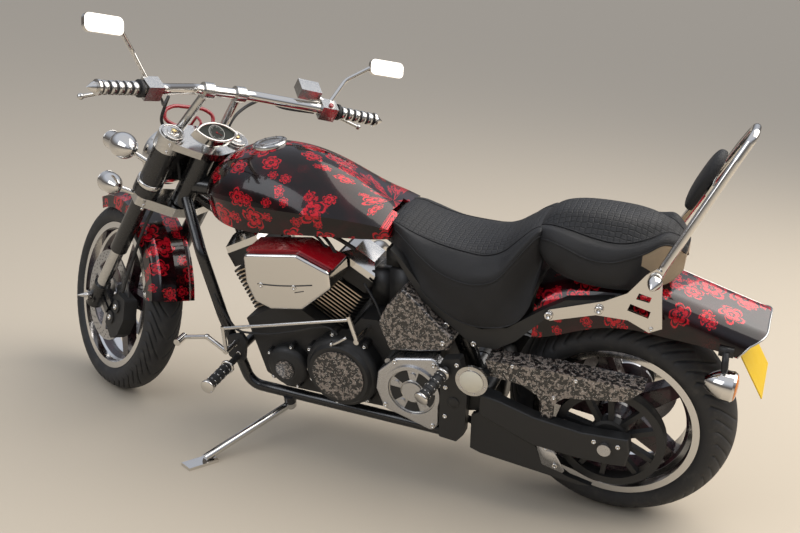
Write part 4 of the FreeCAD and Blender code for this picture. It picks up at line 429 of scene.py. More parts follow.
def lipped_rim(name, matrix, bead, half):
    """Dark plum paint with a polished lip and inner barrel at both edges."""
    shade = Shade(name, (0.02, 0.004, 0.01), 0.25, Coat_Weight=0.6, Coat_Roughness=0.06)
    lip_depth = 34
    here = shade.place(matrix)
    x, y, z = shade.parts(here)
    lip = shade.times(shade.step(shade.reach(x, z), bead - lip_depth, bead - lip_depth + 3),
                      shade.step(shade.calc("ABSOLUTE", y), half - lip_depth, half - lip_depth + 2))
    dirt = shade.noise(0.03, 4, 0.6, here)
    paint = shade.blend(shade.step(dirt, 0.4, 0.75), (0.012, 0.004, 0.008), (0.06, 0.012, 0.02))
    shade.set(Base_Color=shade.blend(lip, paint, (0.68, 0.67, 0.66)), Metallic=lip,
              Roughness=shade.fade(lip, shade.step(dirt, 0.3, 0.7, 0.22, 0.36), 0.14))
    return shade


def finned(name, half):
    """Satin black cylinders with the fins' edges machined bright."""
    shade = Shade(name, (0.02, 0.02, 0.02))
    here = shade.place(BIKE)
    edge = shade.step(shade.calc("ABSOLUTE", shade.parts(here)[1]), half - 1.2, half - 0.4)
    wear = shade.noise(0.08, 3, 0.6, here)
    bare = shade.blend(wear, (0.42, 0.33, 0.24), (0.66, 0.58, 0.48))
    shade.set(Base_Color=shade.blend(edge, (0.016, 0.015, 0.014), bare), Metallic=edge,
              Roughness=shade.fade(edge, 0.55, 0.28))
    return shade


def clear_lens(name):
    """Glass with a faint ripple."""
    shade = Shade(name, (0.95, 0.97, 1.0), 0.03, Transmission_Weight=0.9, IOR=1.45)
    return shade.relief(shade.noise(220, 1), 0.0004, 0.25)


FLOOR_REACH = 400


def plain_floor():
    """Pale sand, which the polished metal shows too."""
    shade = Shade("floor_pale", (0.55, 0.48, 0.38), 0.9)
    mesh = bpy.data.meshes.new("Floor")
    corners = ((-1, -1), (1, -1), (1, 1), (-1, 1))
    mesh.from_pydata([(FLOOR_REACH * x, FLOOR_REACH * y, 0) for x, y in corners], [],
                     [(0, 1, 2, 3)])
    mesh.materials.append(shade.material)
    floor = link("Floor", mesh)


plain_floor()

MATERIALS = {
    "chrome": chrome("chrome_polished"),
    "bright": brushed("aluminium_polished", (0.64, 0.63, 0.61), 0.12, BIKE, (0.02, 0.6, 0.6)),
    "steel": brushed("steel_brushed", (0.6, 0.6, 0.61), 0.22, BIKE, (0.5, 0.02, 0.5)),
    "disc": brushed("disc_steel", (0.5, 0.5, 0.51), 0.25, REAR, (0.3, 0.3, 0.3)),
    "satin": painted("satin_black", (0.014, 0.014, 0.014), 0.42),
    "gloss": painted("gloss_black", (0.008, 0.008, 0.009), 0.22, 0.15, 0.4),
    "cast": painted("cast_black", (0.02, 0.019, 0.018), 0.55, 0.6),
    "tyre": rubber("tyre_rubber", (0.02, 0.02, 0.021), 0.68),
    "rubber": rubber("grip_rubber"),
    "belt": rubber("belt_rubber", (0.01, 0.01, 0.01), 0.5),
    "tank": flower_paint("paint_tank", BIKE, 830, 165),
    "rear_paint": flower_paint("paint_rear_fender", BIKE, 430, 130, REAR_RADIUS),
    "front_paint": flower_paint("paint_front_fender", FORK, 342, 70, 0.0),
    "speckle": speckle("speckled_enamel", BIKE),
    "front_rim": lipped_rim("rim_front", FORK, 229, 52),
    "rear_rim": lipped_rim("rim_rear", REAR, 216, 82),
    "fins": finned("fins_black_bare", 78),
    "red": painted("red_lacquer", (0.32, 0.004, 0.01), 0.18, 0.1, 0.8),
    "leather": leather("leather_black", (0.011, 0.011, 0.012)),
    "scales": leather("leather_scaled", (0.013, 0.013, 0.014), True),
    # Black leather with painted sunlight: a tan patch at the rear
    "tan": sunlit_leather("leather_painted_sunlight", (0.011, 0.011, 0.012), (0.42, 0.32, 0.21)),
    "plate": painted("plate_yellow", (0.8, 0.52, 0.01), 0.35, 0.1),
    "glass": clear_lens("lens_clear"),
    "amber": Shade("lens_amber", (0.75, 0.22, 0.02), 0.12, Coat_Weight=0.8),
    "ruby": Shade("lens_red", (0.5, 0.01, 0.01), 0.12, Coat_Weight=0.8),
    "frosted": Shade("lens_frosted", (0.8, 0.82, 0.84), 0.12, Coat_Weight=0.8),
    "dial": Shade("dial_dark", (0.03, 0.035, 0.03), Specular_IOR_Level=0.2),
    "card": Shade("card_cream", (0.72, 0.68, 0.56), 0.4),
    "brass": Shade("brass_pale", (0.75, 0.58, 0.28), 0.2, 1.0),
    "mark": Shade("mark_white", (0.8, 0.8, 0.76), 0.4),
}
FINISH = {
    "chrome": "front_axle headlight front_lamps clock handlebar mirrors rocker_covers air_cleaner "
              "exhaust backrest_frame rear_lamps foot_controls side_stand",
    "bright": "fork_stanchions yokes bar_controls fuel_cap disc_holder",
    "steel": "pulley_cover rear_axle",
    "disc": "front_discs rear_disc",
    "satin": "rear_pulley seat_rails engine_covers plate_bracket swingarm lower_guard peg_plates",
    "gloss": "fork_legs frame_backbone frame_cradle",
    "cast": "front_calipers crankcase rear_caliper",
    "fins": "cylinder_front cylinder_rear",
    "speckle": "cover_insets side_covers belt_guard",
    "red": "visor_ring air_cleaner_strip",
    "tank": "fuel_tank",
    "front_paint": "front_fender",
    "rear_paint": "rear_fender",
    "front_rim": "front_rim",
    "rear_rim": "rear_rim",
    "glass": "headlight_lens",
    "plate": "number_plate",
    "belt": "drive_belt",
    "rubber": "grips footrests",
    "tyre": "front_tyre rear_tyre",
    "leather": "rider_seat passenger_seat backrest_pad",
}
for finish, names in FINISH.items():
    for node_name in names.split():
        materials = nodes[node_name].data.materials
        materials.clear()
        materials.append(MATERIALS[finish].material)


# Meshes, each made in the millimetres of its body's frame

FRAMES = {"chassis": BIKE, "fork": FORK, "front_wheel": FORK, "rear_wheel": REAR}


def make(name, body, points, faces, finish, slot_name, replaces=(), tints=None):
    """One smooth-shaded piece: its finish, the body it rides on and the nodes it stands for."""
    mesh = bpy.data.meshes.new(name)
    mesh.from_pydata([FRAMES[body] @ Vector(point) for point in points], [], faces)
    for one in finish if isinstance(finish, tuple) else (finish,):
        mesh.materials.append(MATERIALS[one].material)
    if tints is not None:
        mesh.polygons.foreach_set("material_index", tints)
    mesh.polygons.foreach_set("use_smooth", [True] * len(mesh.polygons))
    mesh.update()
    thing = link(name, mesh)
    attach(thing, body)
    if replaces:
        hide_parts(*replaces)
    return thing


def through(points, steps, closed=False):
    """A smooth line through the points: rows of numbers, steps to each run."""
    points = numpy.asarray(points, float)
    count = len(points)
    runs = count if closed else count - 1
    rows = []
    for run in range(runs):
        before, start, end, after = (
            points[pick % count if closed else min(max(pick, 0), count - 1)]
            for pick in range(run - 1, run + 3))
        for step in range(steps):
            t = step / steps
            rows.append(0.5 * (2 * start + (end - before) * t
                               + (2 * before - 5 * start + 4 * end - after) * t * t
                               + (3 * start - before - 3 * end + after) * t ** 3))
    if not closed:
        rows.append(points[-1])
    return numpy.array(rows)


def skin(rows, capped=True):
    """Points and faces over closed rows of equal length."""
    rows = numpy.asarray(rows, float)
    count, width = rows.shape[:2]
    points = [tuple(point) for row in rows for point in row]
    faces = []
    for row in range(count - 1):
        for column in range(width):
            beside = (column + 1) % width
            faces.append((row * width + column, row * width + beside,
                          (row + 1) * width + beside, (row + 1) * width + column))
    if capped:
        for row, order in ((0, -1), (count - 1, 1)):
            middle = len(points)
            points.append(tuple(rows[row].mean(axis=0)))
            for column in range(width):
                beside = (column + 1) % width
                pair = (row * width + column, row * width + beside)
                faces.append((*pair[::order], middle))
    return points, faces


def turns(count, first=0.0):
    """Angles evenly round a circle."""
    return [first + 2 * math.pi * index / count for index in range(count)]


def circle(centre, first, second, radius, sides):
    return [centre + first * radius * math.cos(turn) + second * radius * math.sin(turn)
            for turn in turns(sides)]


def basis(axis):
    """Unit vectors along an axis and across it."""
    axis = Vector(axis).normalized()
    first = axis.orthogonal().normalized()
    return axis, first, axis.cross(first)


def cord_mesh(points, radius, sides=8, closed=False):
    """Points and faces of a round bead along a line of points."""
    points = [Vector(point) for point in points]
    count = len(points)
    rows = []
    side = None
    for index, point in enumerate(points):
        following = points[(index + 1) % count] if closed or index + 1 < count else point
        before = points[index - 1] if closed or index else point
        along = (following - before).normalized()
        if side is None:
            side = along.orthogonal().normalized()
        side = (side - along * side.dot(along)).normalized()
        rows.append(circle(point, side, along.cross(side), radius, sides))
    if closed:
        rows.append(rows[0])
    return skin(rows, not closed)


def joined(meshes):
    """Several meshes as one."""
    points = []
    faces = []
    for more_points, more_faces in meshes:
        start = len(points)
        points.extend(more_points)
        faces.extend(tuple(corner + start for corner in face) for face in more_faces)
    return points, faces


def turned_mesh(profile, centre, axis, sides=24):
    """Profile of (radius, along) pairs turned about an axis through the centre."""
    axis, first, second = basis(axis)
    return skin([circle(Vector(centre) + axis * along, first, second, radius, sides)
                 for radius, along in profile])


# Tyres with grooves cut in the tread

def arc_rows(start, end, radius, count):
    """Points from start to end on an arc that bulges to the left of the way."""
    start, end = Vector(start), Vector(end)
    middle = (start + end) / 2
    half = (end - start) / 2
    across = Vector((-half.y, half.x)).normalized()
    height = math.sqrt(max(radius * radius - half.length_squared, 0.0))
    centre = middle - across * height
    first = math.atan2(*(start - centre).yx)
    last = math.atan2(*(end - centre).yx)
    turn = (last - first + math.pi) % (2 * math.pi) - math.pi
    return [tuple(centre + Vector((math.cos(angle), math.sin(angle))) * radius)
            for angle in (first + turn * step / count for step in range(count + 1))]


TREAD_SHARE = 0.87
RIM_PLAY = 0.3
BEAD_HEIGHT = 11
BULGE_SHARE = 0.66
TREAD_ROWS = 24
WALL_ROWS = 9
RIM_EASE = 0.7
# How the columns bend back towards the edge; how far down the wall the grooves run, how fast
# they deepen, and the share of depth left on the wall
SWEEP_POWER = 1.6
GROOVE_REACH = 16
GROOVE_RAMP = 8
WALL_DEPTH = 0.35
# Each groove: where it starts across the tread, 0 middle to 1 edge, and its depth
GROOVES = {1: (0.12, 5.0), 2: (0.5, 4.0)}
# Place of each column in a block, and the groove that it lies in, 0 for none
COLUMNS = ((0.0, 0), (0.015, 1), (0.07, 1), (0.085, 0), (0.2, 0), (0.35, 0), (0.5, 0),
           (0.515, 2), (0.57, 2), (0.585, 0), (0.7, 0), (0.85, 0))


def treaded(name, body, radius, width, crown, bead, rim_width, blocks, slope):
    """A tyre whose columns follow slanted grooves; long and short grooves take turns."""
    edge = width / 2 * TREAD_SHARE
    wall = rim_width / 2 - RIM_PLAY
    crown_centre = radius - crown
    shoulder = crown_centre + math.sqrt(crown * crown - edge * edge)
    bead_top = bead + BEAD_HEIGHT
    bulge = (shoulder - bead_top) * BULGE_SHARE
    sides = [-edge + 2 * edge * row / TREAD_ROWS for row in range(TREAD_ROWS + 1)]
    profile = [(crown_centre + math.sqrt(crown * crown - side * side), side) for side in sides]
    outside = arc_rows((shoulder, edge), (bead_top, wall), bulge, WALL_ROWS)[1:]
    if outside[4][1] < edge:
        outside = arc_rows((bead_top, wall), (shoulder, edge), bulge, WALL_ROWS)[-2::-1]
    ring = ([(x, -y) for x, y in outside[::-1]] + profile + outside
            + [(bead + RIM_EASE, wall), (bead + RIM_EASE, -wall)])
    rows = []
    for block in range(blocks):
        for offset, groove in COLUMNS:
            row = []
            for reach, side in ring:
                share = min(abs(side) / edge, 1.0)
                lag = slope * share ** SWEEP_POWER
                angle = 2 * math.pi * (block + offset + lag) / blocks
                depth = 0.0
                if groove and reach > shoulder - GROOVE_REACH:
                    start, deepest = GROOVES[groove]
                    if share > start:
                        depth = deepest * min(1, (share - start) * GROOVE_RAMP)
                inner = reach - depth * (WALL_DEPTH if reach < shoulder - 2 else 1.0)
                row.append((inner * math.sin(angle), side, inner * math.cos(angle)))
            rows.append(row)
    rows.append(rows[0])
    make(name, body, *skin(rows, False), "tyre", "tyre", (name.lower(),))


treaded("Front_tyre", "front_wheel", 312.6, 120, 70, 228.6, 89, 26, 1.2)
treaded("Rear_tyre", "rear_wheel", REAR_RADIUS, 200, 116, 215.9, 159, 22, 1.1)


# Seats: rows of measured sections, each a smooth loop with its seams at known places

RIDER = [
    # along, top, seam half, seam up, piping half, piping up, hem half, hem up
    (673, 806, 52, 800, 60, 792, 64, 776),
    (660, 815, 76, 808, 84, 794, 88, 756),
    (632, 815, 90, 806, 104, 786, 110, 726),
    (595, 803, 95, 794, 124, 768, 132, 696),
    (550, 789, 98, 782, 141, 742, 150, 656),
    (500, 780, 102, 774, 154, 718, 160, 622),
    (440, 780, 107, 770, 165, 707, 163, 592),
    (385, 793, 110, 771, 167, 709, 162, 583),
    (338, 813, 104, 788, 160, 728, 159, 588),
    (302, 838, 94, 822, 142, 774, 155, 600),
    (270, 858, 78, 852, 120, 818, 148, 624),
    (246, 866, 66, 862, 104, 846, 138, 668),
    (234, 858, 56, 854, 90, 840, 122, 730),
]
PILLION = [
    (256, 848, 40, 844, 66, 832, 62, 812),
    (247, 874, 58, 864, 92, 838, 82, 798),
    (213, 902, 76, 876, 120, 850, 108, 776),
    (165, 915, 90, 877, 138, 846, 128, 764),
    (110, 919, 101, 872, 146, 832, 135, 757),
    (55, 919, 105, 869, 147, 831, 135, 756),
    (10, 917, 97, 873, 136, 844, 129, 757),
    (-30, 911, 76, 883, 118, 860, 116, 760),
    (-68, 899, 44, 893, 94, 880, 98, 768),
    (-100, 880, 22, 878, 66, 866, 76, 780),
    (-120, 850, 12, 849, 42, 842, 50, 800),
]
PAD_STEPS = 8
SEAM_DEPTH = 2.2
PIPING_RISE = 2.0
# How a section runs between its measured places
SIDE_SHARE = 0.45
SIDE_OUT = 2
SHOULDER_OUT = 5
SHOULDER_RISE = 9
CROWN_SHARE = 0.55
CROWN_DROP = 0.16
HEM_FOLD = 14
HEM_RISE = 2
PAN_RISE = 22
# Which points of a section are its seams and its piping
SEAMS = (5, 9)
PIPES = (3, 11)


def seat_loop(along, top, seam_half, seam_up, pipe_half, pipe_up, hem_half, hem_up):
    """One closed section: over the top from left to right, then back underneath."""
    left = [
        (along, pipe_half + SIDE_OUT, pipe_up * SIDE_SHARE + hem_up * (1 - SIDE_SHARE)),
        (along, pipe_half, pipe_up),
        (along, (pipe_half + seam_half) / 2 + SHOULDER_OUT, (pipe_up + seam_up) / 2 + SHOULDER_RISE),
        (along, seam_half, seam_up),
        (along, seam_half * CROWN_SHARE, top - (top - seam_up) * CROWN_DROP),
    ]
    right = [(x, -y, z) for x, y, z in left[::-1]]
    hem = [(along, hem_half, hem_up), (along, hem_half - HEM_FOLD, hem_up + HEM_RISE)]
    return ([hem[1], hem[0]] + left + [(along, 0, top)] + right
            + [(x, -y, z) for x, y, z in hem[::-1]] + [(along, 0, hem_up + PAN_RISE)])


def saddle(name, table, node_name, panel, wear_and_sunlight=False):
    """The cushion and its beaded seams; panel is where its top is scaled, from rear to front; the last
    argument puts painted sunlight, in tan, on its rear flanks.
    """
    along = through([seat_loop(*row) for row in table], PAD_STEPS)
    rows = numpy.array([through(row, PAD_STEPS, True) for row in along])
    width = rows.shape[1]
    seam_left, seam_right = (place * PAD_STEPS for place in SEAMS)
    pipe_left, pipe_right = (place * PAD_STEPS for place in PIPES)
    for column in (seam_left, seam_right, pipe_left, pipe_right):
        rows[:, column, 2] -= SEAM_DEPTH
    points, faces = skin(rows)
    tints = []
    for face in faces:
        row, column = divmod(face[0], width)
        x = points[face[0]][0]
        on_top = seam_left <= column < seam_right and row < len(rows) - 1
        below = column < pipe_left or column >= pipe_right
        if on_top and panel[0] < x < panel[1]:
            tints.append(1)
        else:
            # Faces below the piping, at the rear, take the tan of painted sunlight
            tints.append(2 if wear_and_sunlight and below and x < 0 else 0)
    cushion = make(name, "chassis", points, faces, ("leather", "scales", "tan"), "leather",
                   (node_name,), tints)
    beads = []
    for column, radius in ((seam_left, 1.8), (seam_right, 1.8), (pipe_left, 2.4),
                           (pipe_right, 2.4)):
        line = [row[column] + numpy.array((0, 0, PIPING_RISE)) for row in rows[2:-2]]
        beads.append(cord_mesh(line, radius, 6))
    make(name + "_piping", "chassis", *joined(beads), "leather", "leather")


saddle("Rider_cushion", RIDER, "rider_seat", (262, 664))
# The pillion's rear flanks carry the painted sunlight
saddle("Pillion_cushion", PILLION, "passenger_seat", (-96, 244), True)


PAD_CENTRE = Vector((-146, 0, 1026))
PAD_LEAN = Vector((-112, 0, 254)).normalized()
PAD_SET_BACK = 1.75
PAD_HALF_WIDTH = 60
PAD_HALF_HEIGHT = 82
PAD_SQUARENESS = 3
# Share of the outline and height over the hoop, from the back to the crown
PAD_LEVELS = ((0.5, -1.5), (0.93, 0.0), (1.0, 6.0), (1.0, 14.0), (0.93, 22.0), (0.7, 28.0),
              (0.35, 31.0))


def back_cushion():
    """Oval pad, crowned on both faces, on the backrest's hoop."""
    forward = Vector((0, 1, 0)).cross(PAD_LEAN)
    centre = PAD_CENTRE - forward * PAD_SET_BACK
    rows = []
    for share, height in PAD_LEVELS:
        row = []
        for turn in turns(40):
            reach = (abs(math.cos(turn)) ** PAD_SQUARENESS
                     + abs(math.sin(turn)) ** PAD_SQUARENESS) ** (-1 / PAD_SQUARENESS)
            across = reach * math.sin(turn) * PAD_HALF_WIDTH * share
            up = reach * math.cos(turn) * PAD_HALF_HEIGHT * share
            row.append(tuple(centre + forward * height + PAD_LEAN * up + Vector((0, across, 0))))
        rows.append(row)
    pad = make("Back_cushion", "chassis", *skin(through(rows, 4)), "leather", "leather",
               ("backrest_pad",))


back_cushion()


# Small parts: bolts, rings, lenses, hoses and marks

LEFT = (0, 1, 0)
RIGHT = (0, -1, 0)
UP = (0, 0, 1)


def disc_mesh(radius, low, high, centre, axis, sides):
    """A plain short cylinder, its outer edge eased."""
    ease = min(1.0, (high - low) * 0.3)
    return turned_mesh([(radius, low), (radius, high - ease), (radius - ease, high)], centre, axis,
                       sides)


def bolt_mesh(centre, axis, radius, height):
    """Round bolt head with a socket in it."""
    return turned_mesh([(radius, -1), (radius, height * 0.6), (radius * 0.8, height),
                        (radius * 0.45, height), (radius * 0.42, height * 0.4)], centre, axis, 14)


def dome_mesh(radius, height, centre, axis, sides):
    """A quarter of an ellipse turned about the axis."""
    return turned_mesh([(radius * math.cos(turn), height * math.sin(turn)) for turn in
                        (math.pi / 2 * step / 6 for step in range(6))] + [(0.4, height)],
                       centre, axis, sides)


def ring_mesh(radius, thick, centre, axis, sides=40):
    _, first, second = basis(axis)
    line = [Vector(centre) + (first * math.cos(turn) + second * math.sin(turn)) * radius
            for turn in turns(sides)]
    return cord_mesh(line, thick, 8, True)


def hose_mesh(points, radius, steps=8, sides=8):
    """A bead along a smooth line through the points."""
    return cord_mesh(through(points, steps), radius, sides)


def box_mesh(centre, sizes):
    x, y, z = centre
    a, b, c = (size / 2 for size in sizes)
    points = [(x + a * i, y + b * j, z + c * k) for i in (-1, 1) for j in (-1, 1) for k in (-1, 1)]
    faces = [(0, 1, 3, 2), (4, 6, 7, 5), (0, 4, 5, 1), (2, 3, 7, 6), (0, 2, 6, 4), (1, 5, 7, 3)]
    return points, faces


# The record's material slot for each finish of a small part
SLOTS = {"satin": "black", "brass": "aluminium", "bright": "aluminium", "steel": "aluminium",
         "frosted": "glass", "amber": "glass", "ruby": "red", "red": "red", "rubber": "rubber",
         "dial": "glass", "card": "plate", "mark": "plate", "chrome": "chrome"}


def add_small(name, meshes, finish, body="chassis"):
    make(name, body, *joined(meshes), finish, SLOTS[finish])


def mirrored(place, way):
    """The place where way is 1, and its mirror image where it is -1."""
    x, y, z = place
    return Vector((x, y * way, z))


def facing(rows, *sides):
    """Bolts from rows of place, radius and height, on the left for 1 and the right for -1."""
    return [(mirrored(place, side), (0, side, 0), *sizes) for side in sides
            for place, *sizes in rows]


def around(centre, radius, count, first=0.0):
    """Places on a circle about an axis to the left."""
    x, y, z = centre
    return [(x + radius * math.cos(turn), y, z + radius * math.sin(turn))
            for turn in turns(count, first)]


# Bolts and bands

# Bolt circles: centre, radius, count and first angle
LARGE_COVER = ((783, 154, 337), 117, 7, 0.4)
SMALL_COVER = ((970, 144, 297), 70, 5, 0.5)
CARD_HOLDER = ((372, 217.3, 440), 40, 6, 0.3)
COVERED_BEHIND = 700
large_cover_bolts = [place for place in around(*LARGE_COVER) if place[0] > COVERED_BEHIND]
# Place, radius and height
CHASSIS_BOLTS = facing([
    ((471, 150, 558), 9, 5), ((391, 150, 517), 9, 5), ((471, 178, 515), 8, 4), ((448, 208, 397), 7, 5),
    ((447, 208, 301), 7, 5), ((418, 208, 476), 7, 5), ((190, 156.3, 656), 12, 9),
    ((62, 156.3, 702), 12, 11), ((-72, 156.3, 674), 6, 4), ((30, 205, 330), 7, 4),
    ((-34, 205, 330), 7, 4),
], 1, -1) + facing([
    ((1016, 198, 592), 8, 3), ((911, 198, 605), 8, 3), ((603, 200, 436), 8, 4),
    ((488, 200, 452), 8, 4), ((486, 200, 250), 8, 4), ((630, 200, 285), 8, 4),
    ((268, 192, 500), 6, 4), ((96, 192, 497), 6, 4), ((150, 192, 430), 6, 4),
    ((161, 190.5, 262), 8, 4), ((131, 190.5, 209), 8, 4), ((1150, 141, 330), 8, 5),
    ((1140, 141, 300), 8, 5),
], 1)
for places, radius, height in ((large_cover_bolts, 6, 6), (around(*SMALL_COVER), 5, 5),
                               (around(*CARD_HOLDER), 2.4, 1.4)):
    CHASSIS_BOLTS += facing([(place, radius, height) for place in places], 1)
add_small("Chassis_bolts", [bolt_mesh(*row) for row in CHASSIS_BOLTS], "chrome")
lugs = [disc_mesh(10, -34, 0, place, LEFT, 16) for place in large_cover_bolts]
lugs += [disc_mesh(8.5, -24, 0, place, LEFT, 16) for place in around(*SMALL_COVER)]
lugs += [disc_mesh(17, -1, 2.5, (424, 208, 352), LEFT, 24)]
add_small("Cover_lugs", lugs, "satin")

FORK_BOLTS = facing([
    ((-106, 96, 62), 10, 4), ((-102, 96, 8), 10, 4), ((-66, 92, 8), 5, 3), ((-74, 96, 92), 5, 3),
], 1, -1)
FORK_BOLTS += [((-52, way * 126, up), (-1, 0, 0), 5, 5) for way in (1, -1) for up in (450, 466)]
FORK_BOLTS += [((-38, way * 122, up), (-0.8, 0.6 * way, 0), 4.5, 5) for way in (1, -1)
               for up in (668, 694)]
add_small("Fork_bolts", [bolt_mesh(*row) for row in FORK_BOLTS], "chrome", "fork")
LEG_ASIDE = 105
CAP_HEIGHT = 712
bands = []
caps = []
for way in (1, -1):
    leg = (0, LEG_ASIDE * way, 0)
    bands.append(turned_mesh([(36.4, 508.5), (40.5, 509), (41, 513), (41, 519), (39.5, 524),
                              (36.4, 524.5)], leg, UP, 32))
    bands.append(ring_mesh(32, 2.2, (0, LEG_ASIDE * way, CAP_HEIGHT), UP))
    bands.append(disc_mesh(19, 708, 715, leg, UP, 24))
    caps.append(disc_mesh(9.4, CAP_HEIGHT, 722, leg, UP, 6))
add_small("Fork_bands", bands, "chrome", "fork")
add_small("Fork_cap_bolts", caps, "brass", "fork")


# Instrument: an almond face under a beaded rim

CLOCK_TILT = math.radians(18)
CLOCK_UP = Vector((-math.sin(CLOCK_TILT), 0, math.cos(CLOCK_TILT)))
CLOCK_DOWN = CLOCK_UP.cross(Vector(LEFT))
CLOCK = Vector((-41, 0, 750))
RIM_LIFT = 15
FACE_LIFT = 12.5
MARK_LIFT = 12.8
NEEDLE_LIFT = 13.6
NEEDLE_TURN = 2.6


def almond(reach, curve, lift, count=18):
    """Points round an almond on the instrument's face."""
    middle = math.sqrt(curve * curve - reach * reach)
    span = math.asin(reach / curve)
    line = []
    for way in (1, -1):
        for step in range(count):
            turn = span * (1 - 2 * step / count) * way
            line.append(CLOCK + Vector(LEFT) * curve * math.sin(turn) + CLOCK_UP * lift
                        + CLOCK_DOWN * way * (curve * math.cos(turn) - middle))
    return line


def clock_line(turn, inner, outer, lift, radius):
    """A thin bar from inner to outer, at an angle on the dial."""
    return cord_mesh([CLOCK + CLOCK_UP * lift + Vector(LEFT) * reach * math.cos(turn)
                      + CLOCK_DOWN * reach * math.sin(turn) for reach in (inner, outer)], radius, 4)


add_small("Clock_bezel", [cord_mesh(almond(67, 90, RIM_LIFT), 4.2, 8, True)], "chrome", "fork")
face_line = almond(63, 86, FACE_LIFT)
last = len(face_line)
face_points = [tuple(point) for point in face_line] + [tuple(CLOCK + CLOCK_UP * FACE_LIFT)]
face_fan = [(index, (index + 1) % last, last) for index in range(last)]
add_small("Clock_face", [(face_points, face_fan)], "dial", "fork")
ticks = [clock_line(-math.radians(150 - 12.5 * index), 17 if index % 4 == 0 else 20, 23,
                    MARK_LIFT, 0.5) for index in range(25)]
ticks.append(ring_mesh(25, 0.7, CLOCK + CLOCK_UP * MARK_LIFT, CLOCK_UP))
add_small("Clock_marks", ticks, "mark", "fork")
add_small("Clock_needle", [clock_line(NEEDLE_TURN, 0, 19, NEEDLE_LIFT, 0.7),
                           disc_mesh(3, 12.6, 15, CLOCK, CLOCK_UP, 12)], "red", "fork")


# Lamps

AHEAD = Vector((0.8660254, 0, -0.5))
LAMP_ASIDE = 190
# Name, length, radius, place forward and up, finish of the lens
LAMPS = (("Auxiliary", 146, 28, 85, 577, "frosted"), ("Signal", 78, 32, 44, 455, "amber"))
for lamp_name, length, radius, forward, up, finish in LAMPS:
    lenses = []
    rings = []
    for way in (1, -1):
        face = Vector((forward, LAMP_ASIDE * way, up)) + AHEAD * (length / 2)
        lenses.append(dome_mesh(radius * 0.93, 11, face + AHEAD * 1.2, AHEAD, 24))
        rings.append(ring_mesh(radius * 0.97, 2, face + AHEAD * 1.5, AHEAD, 28))
    add_small(f"{lamp_name}_lenses", lenses, finish, "fork")
    add_small(f"{lamp_name}_bezels", rings, "chrome", "fork")
BACK = Vector((-1, 0, -0.05)).normalized()
tail = [dome_mesh(35, 8, Vector((-288, 150 * way, 552)) + BACK * 6, BACK, 24) for way in (1, -1)]
add_small("Rear_signal_lenses", tail, "amber")
add_small("Tail_lens", [hose_mesh([(-306.5, y, 650) for y in (-42, 0, 42)], 6.5, 2, 8)], "ruby")


# Bars

GRIP_START = Vector((-97, 315, 927))
GRIP_WAY = Vector((-34, 190, 7)).normalized()
GRIP_LENGTH = 125
GRIP_FOOT = 10
GRIP_END = 4
SLEEVES = 5
SLEEVE_PITCH = (GRIP_LENGTH - GRIP_FOOT - GRIP_END) / SLEEVES
sleeves = []
for way in (1, -1):
    start = mirrored(GRIP_START, way)
    along = mirrored(GRIP_WAY, way)
    for index in range(SLEEVES):
        foot = GRIP_FOOT + SLEEVE_PITCH * index
        sleeves.append(turned_mesh([(18.2, foot + 5), (19.1, foot + 6.5),
                                    (19.1, foot + SLEEVE_PITCH - 4.5),
                                    (18.2, foot + SLEEVE_PITCH - 3)], start, along, 24))
add_small("Grip_sleeves", sleeves, "bright", "fork")
switch_box = mirrored(GRIP_START, -1) + mirrored(GRIP_WAY, -1) * -32
add_small("Kill_switch", [disc_mesh(7, 24, 31, switch_box, (-0.35, 0.05, 0.93), 12)], "red", "fork")


# Hoses, each with its places and radius

FORK_HOSES = [
    ([(44, 140, 804), (58, 128, 750), (66, 110, 690), (40, 60, 640), (-30, 34, 560)], 5),
    ([(103, -200, 790), (90, -150, 762), (41, -92, 742), (-10, -60, 660), (-50, -30, 560)], 5),
    ([(-84, 250, 905), (-40, 205, 850), (10, 165, 800), (44, 140, 804)], 4),
    ([(-84, -250, 905), (20, -225, 830), (80, -210, 806), (103, -200, 790)], 4),
]
CALIPER_HOSE = [(-20, 66, 438), (-34, 78, 380), (-52, 84, 300), (-78, 88, 200), (-96, 88, 120)]
FORK_HOSES += [([mirrored(place, way) for place in CALIPER_HOSE], 5) for way in (1, -1)]
CHASSIS_HOSES = [
    ([(1132, 131, 372), (1037, 140, 391), (940, 138, 424), (883, 140, 448), (835, 142, 462),
      (800, 152, 450)], 3.5),
    ([(1316, 60, 640), (1262, 96, 560), (1214, 128, 470), (1160, 132, 390), (1132, 131, 372)], 4),
    ([(1010, 60, 700), (930, 84, 742), (840, 92, 735), (770, 84, 700)], 6),
    ([(1000, 92, 705), (960, 96, 735), (890, 100, 730), (850, 98, 690)], 4),
    ([(890, 60, 715), (850, 96, 716), (820, 98, 670), (812, 92, 600)], 5),
    ([(742, 90, 600), (700, 110, 560), (676, 120, 520), (660, 118, 470)], 4),
]
for body, hoses in (("fork", FORK_HOSES), ("chassis", CHASSIS_HOSES)):
    add_small(f"{body.title()}_hoses", [hose_mesh(*hose) for hose in hoses], "rubber", body)


# Engine's left side and belt side

add_small("Clutch_arm", [
    hose_mesh([(806, 178, 431), (790, 186, 444), (758, 182, 468)], 5, 4),
    dome_mesh(10, 14, (806, 172, 431), LEFT, 16)], "chrome")
add_small("Air_cleaner_groove", [
    hose_mesh([(1026, 197.6, 594), (970, 197.8, 600), (910, 197.8, 611), (853, 197.6, 625)], 2.2, 4),
    hose_mesh([(908, 197.8, 590), (880, 197.6, 600)], 1.6, 2)], "satin")

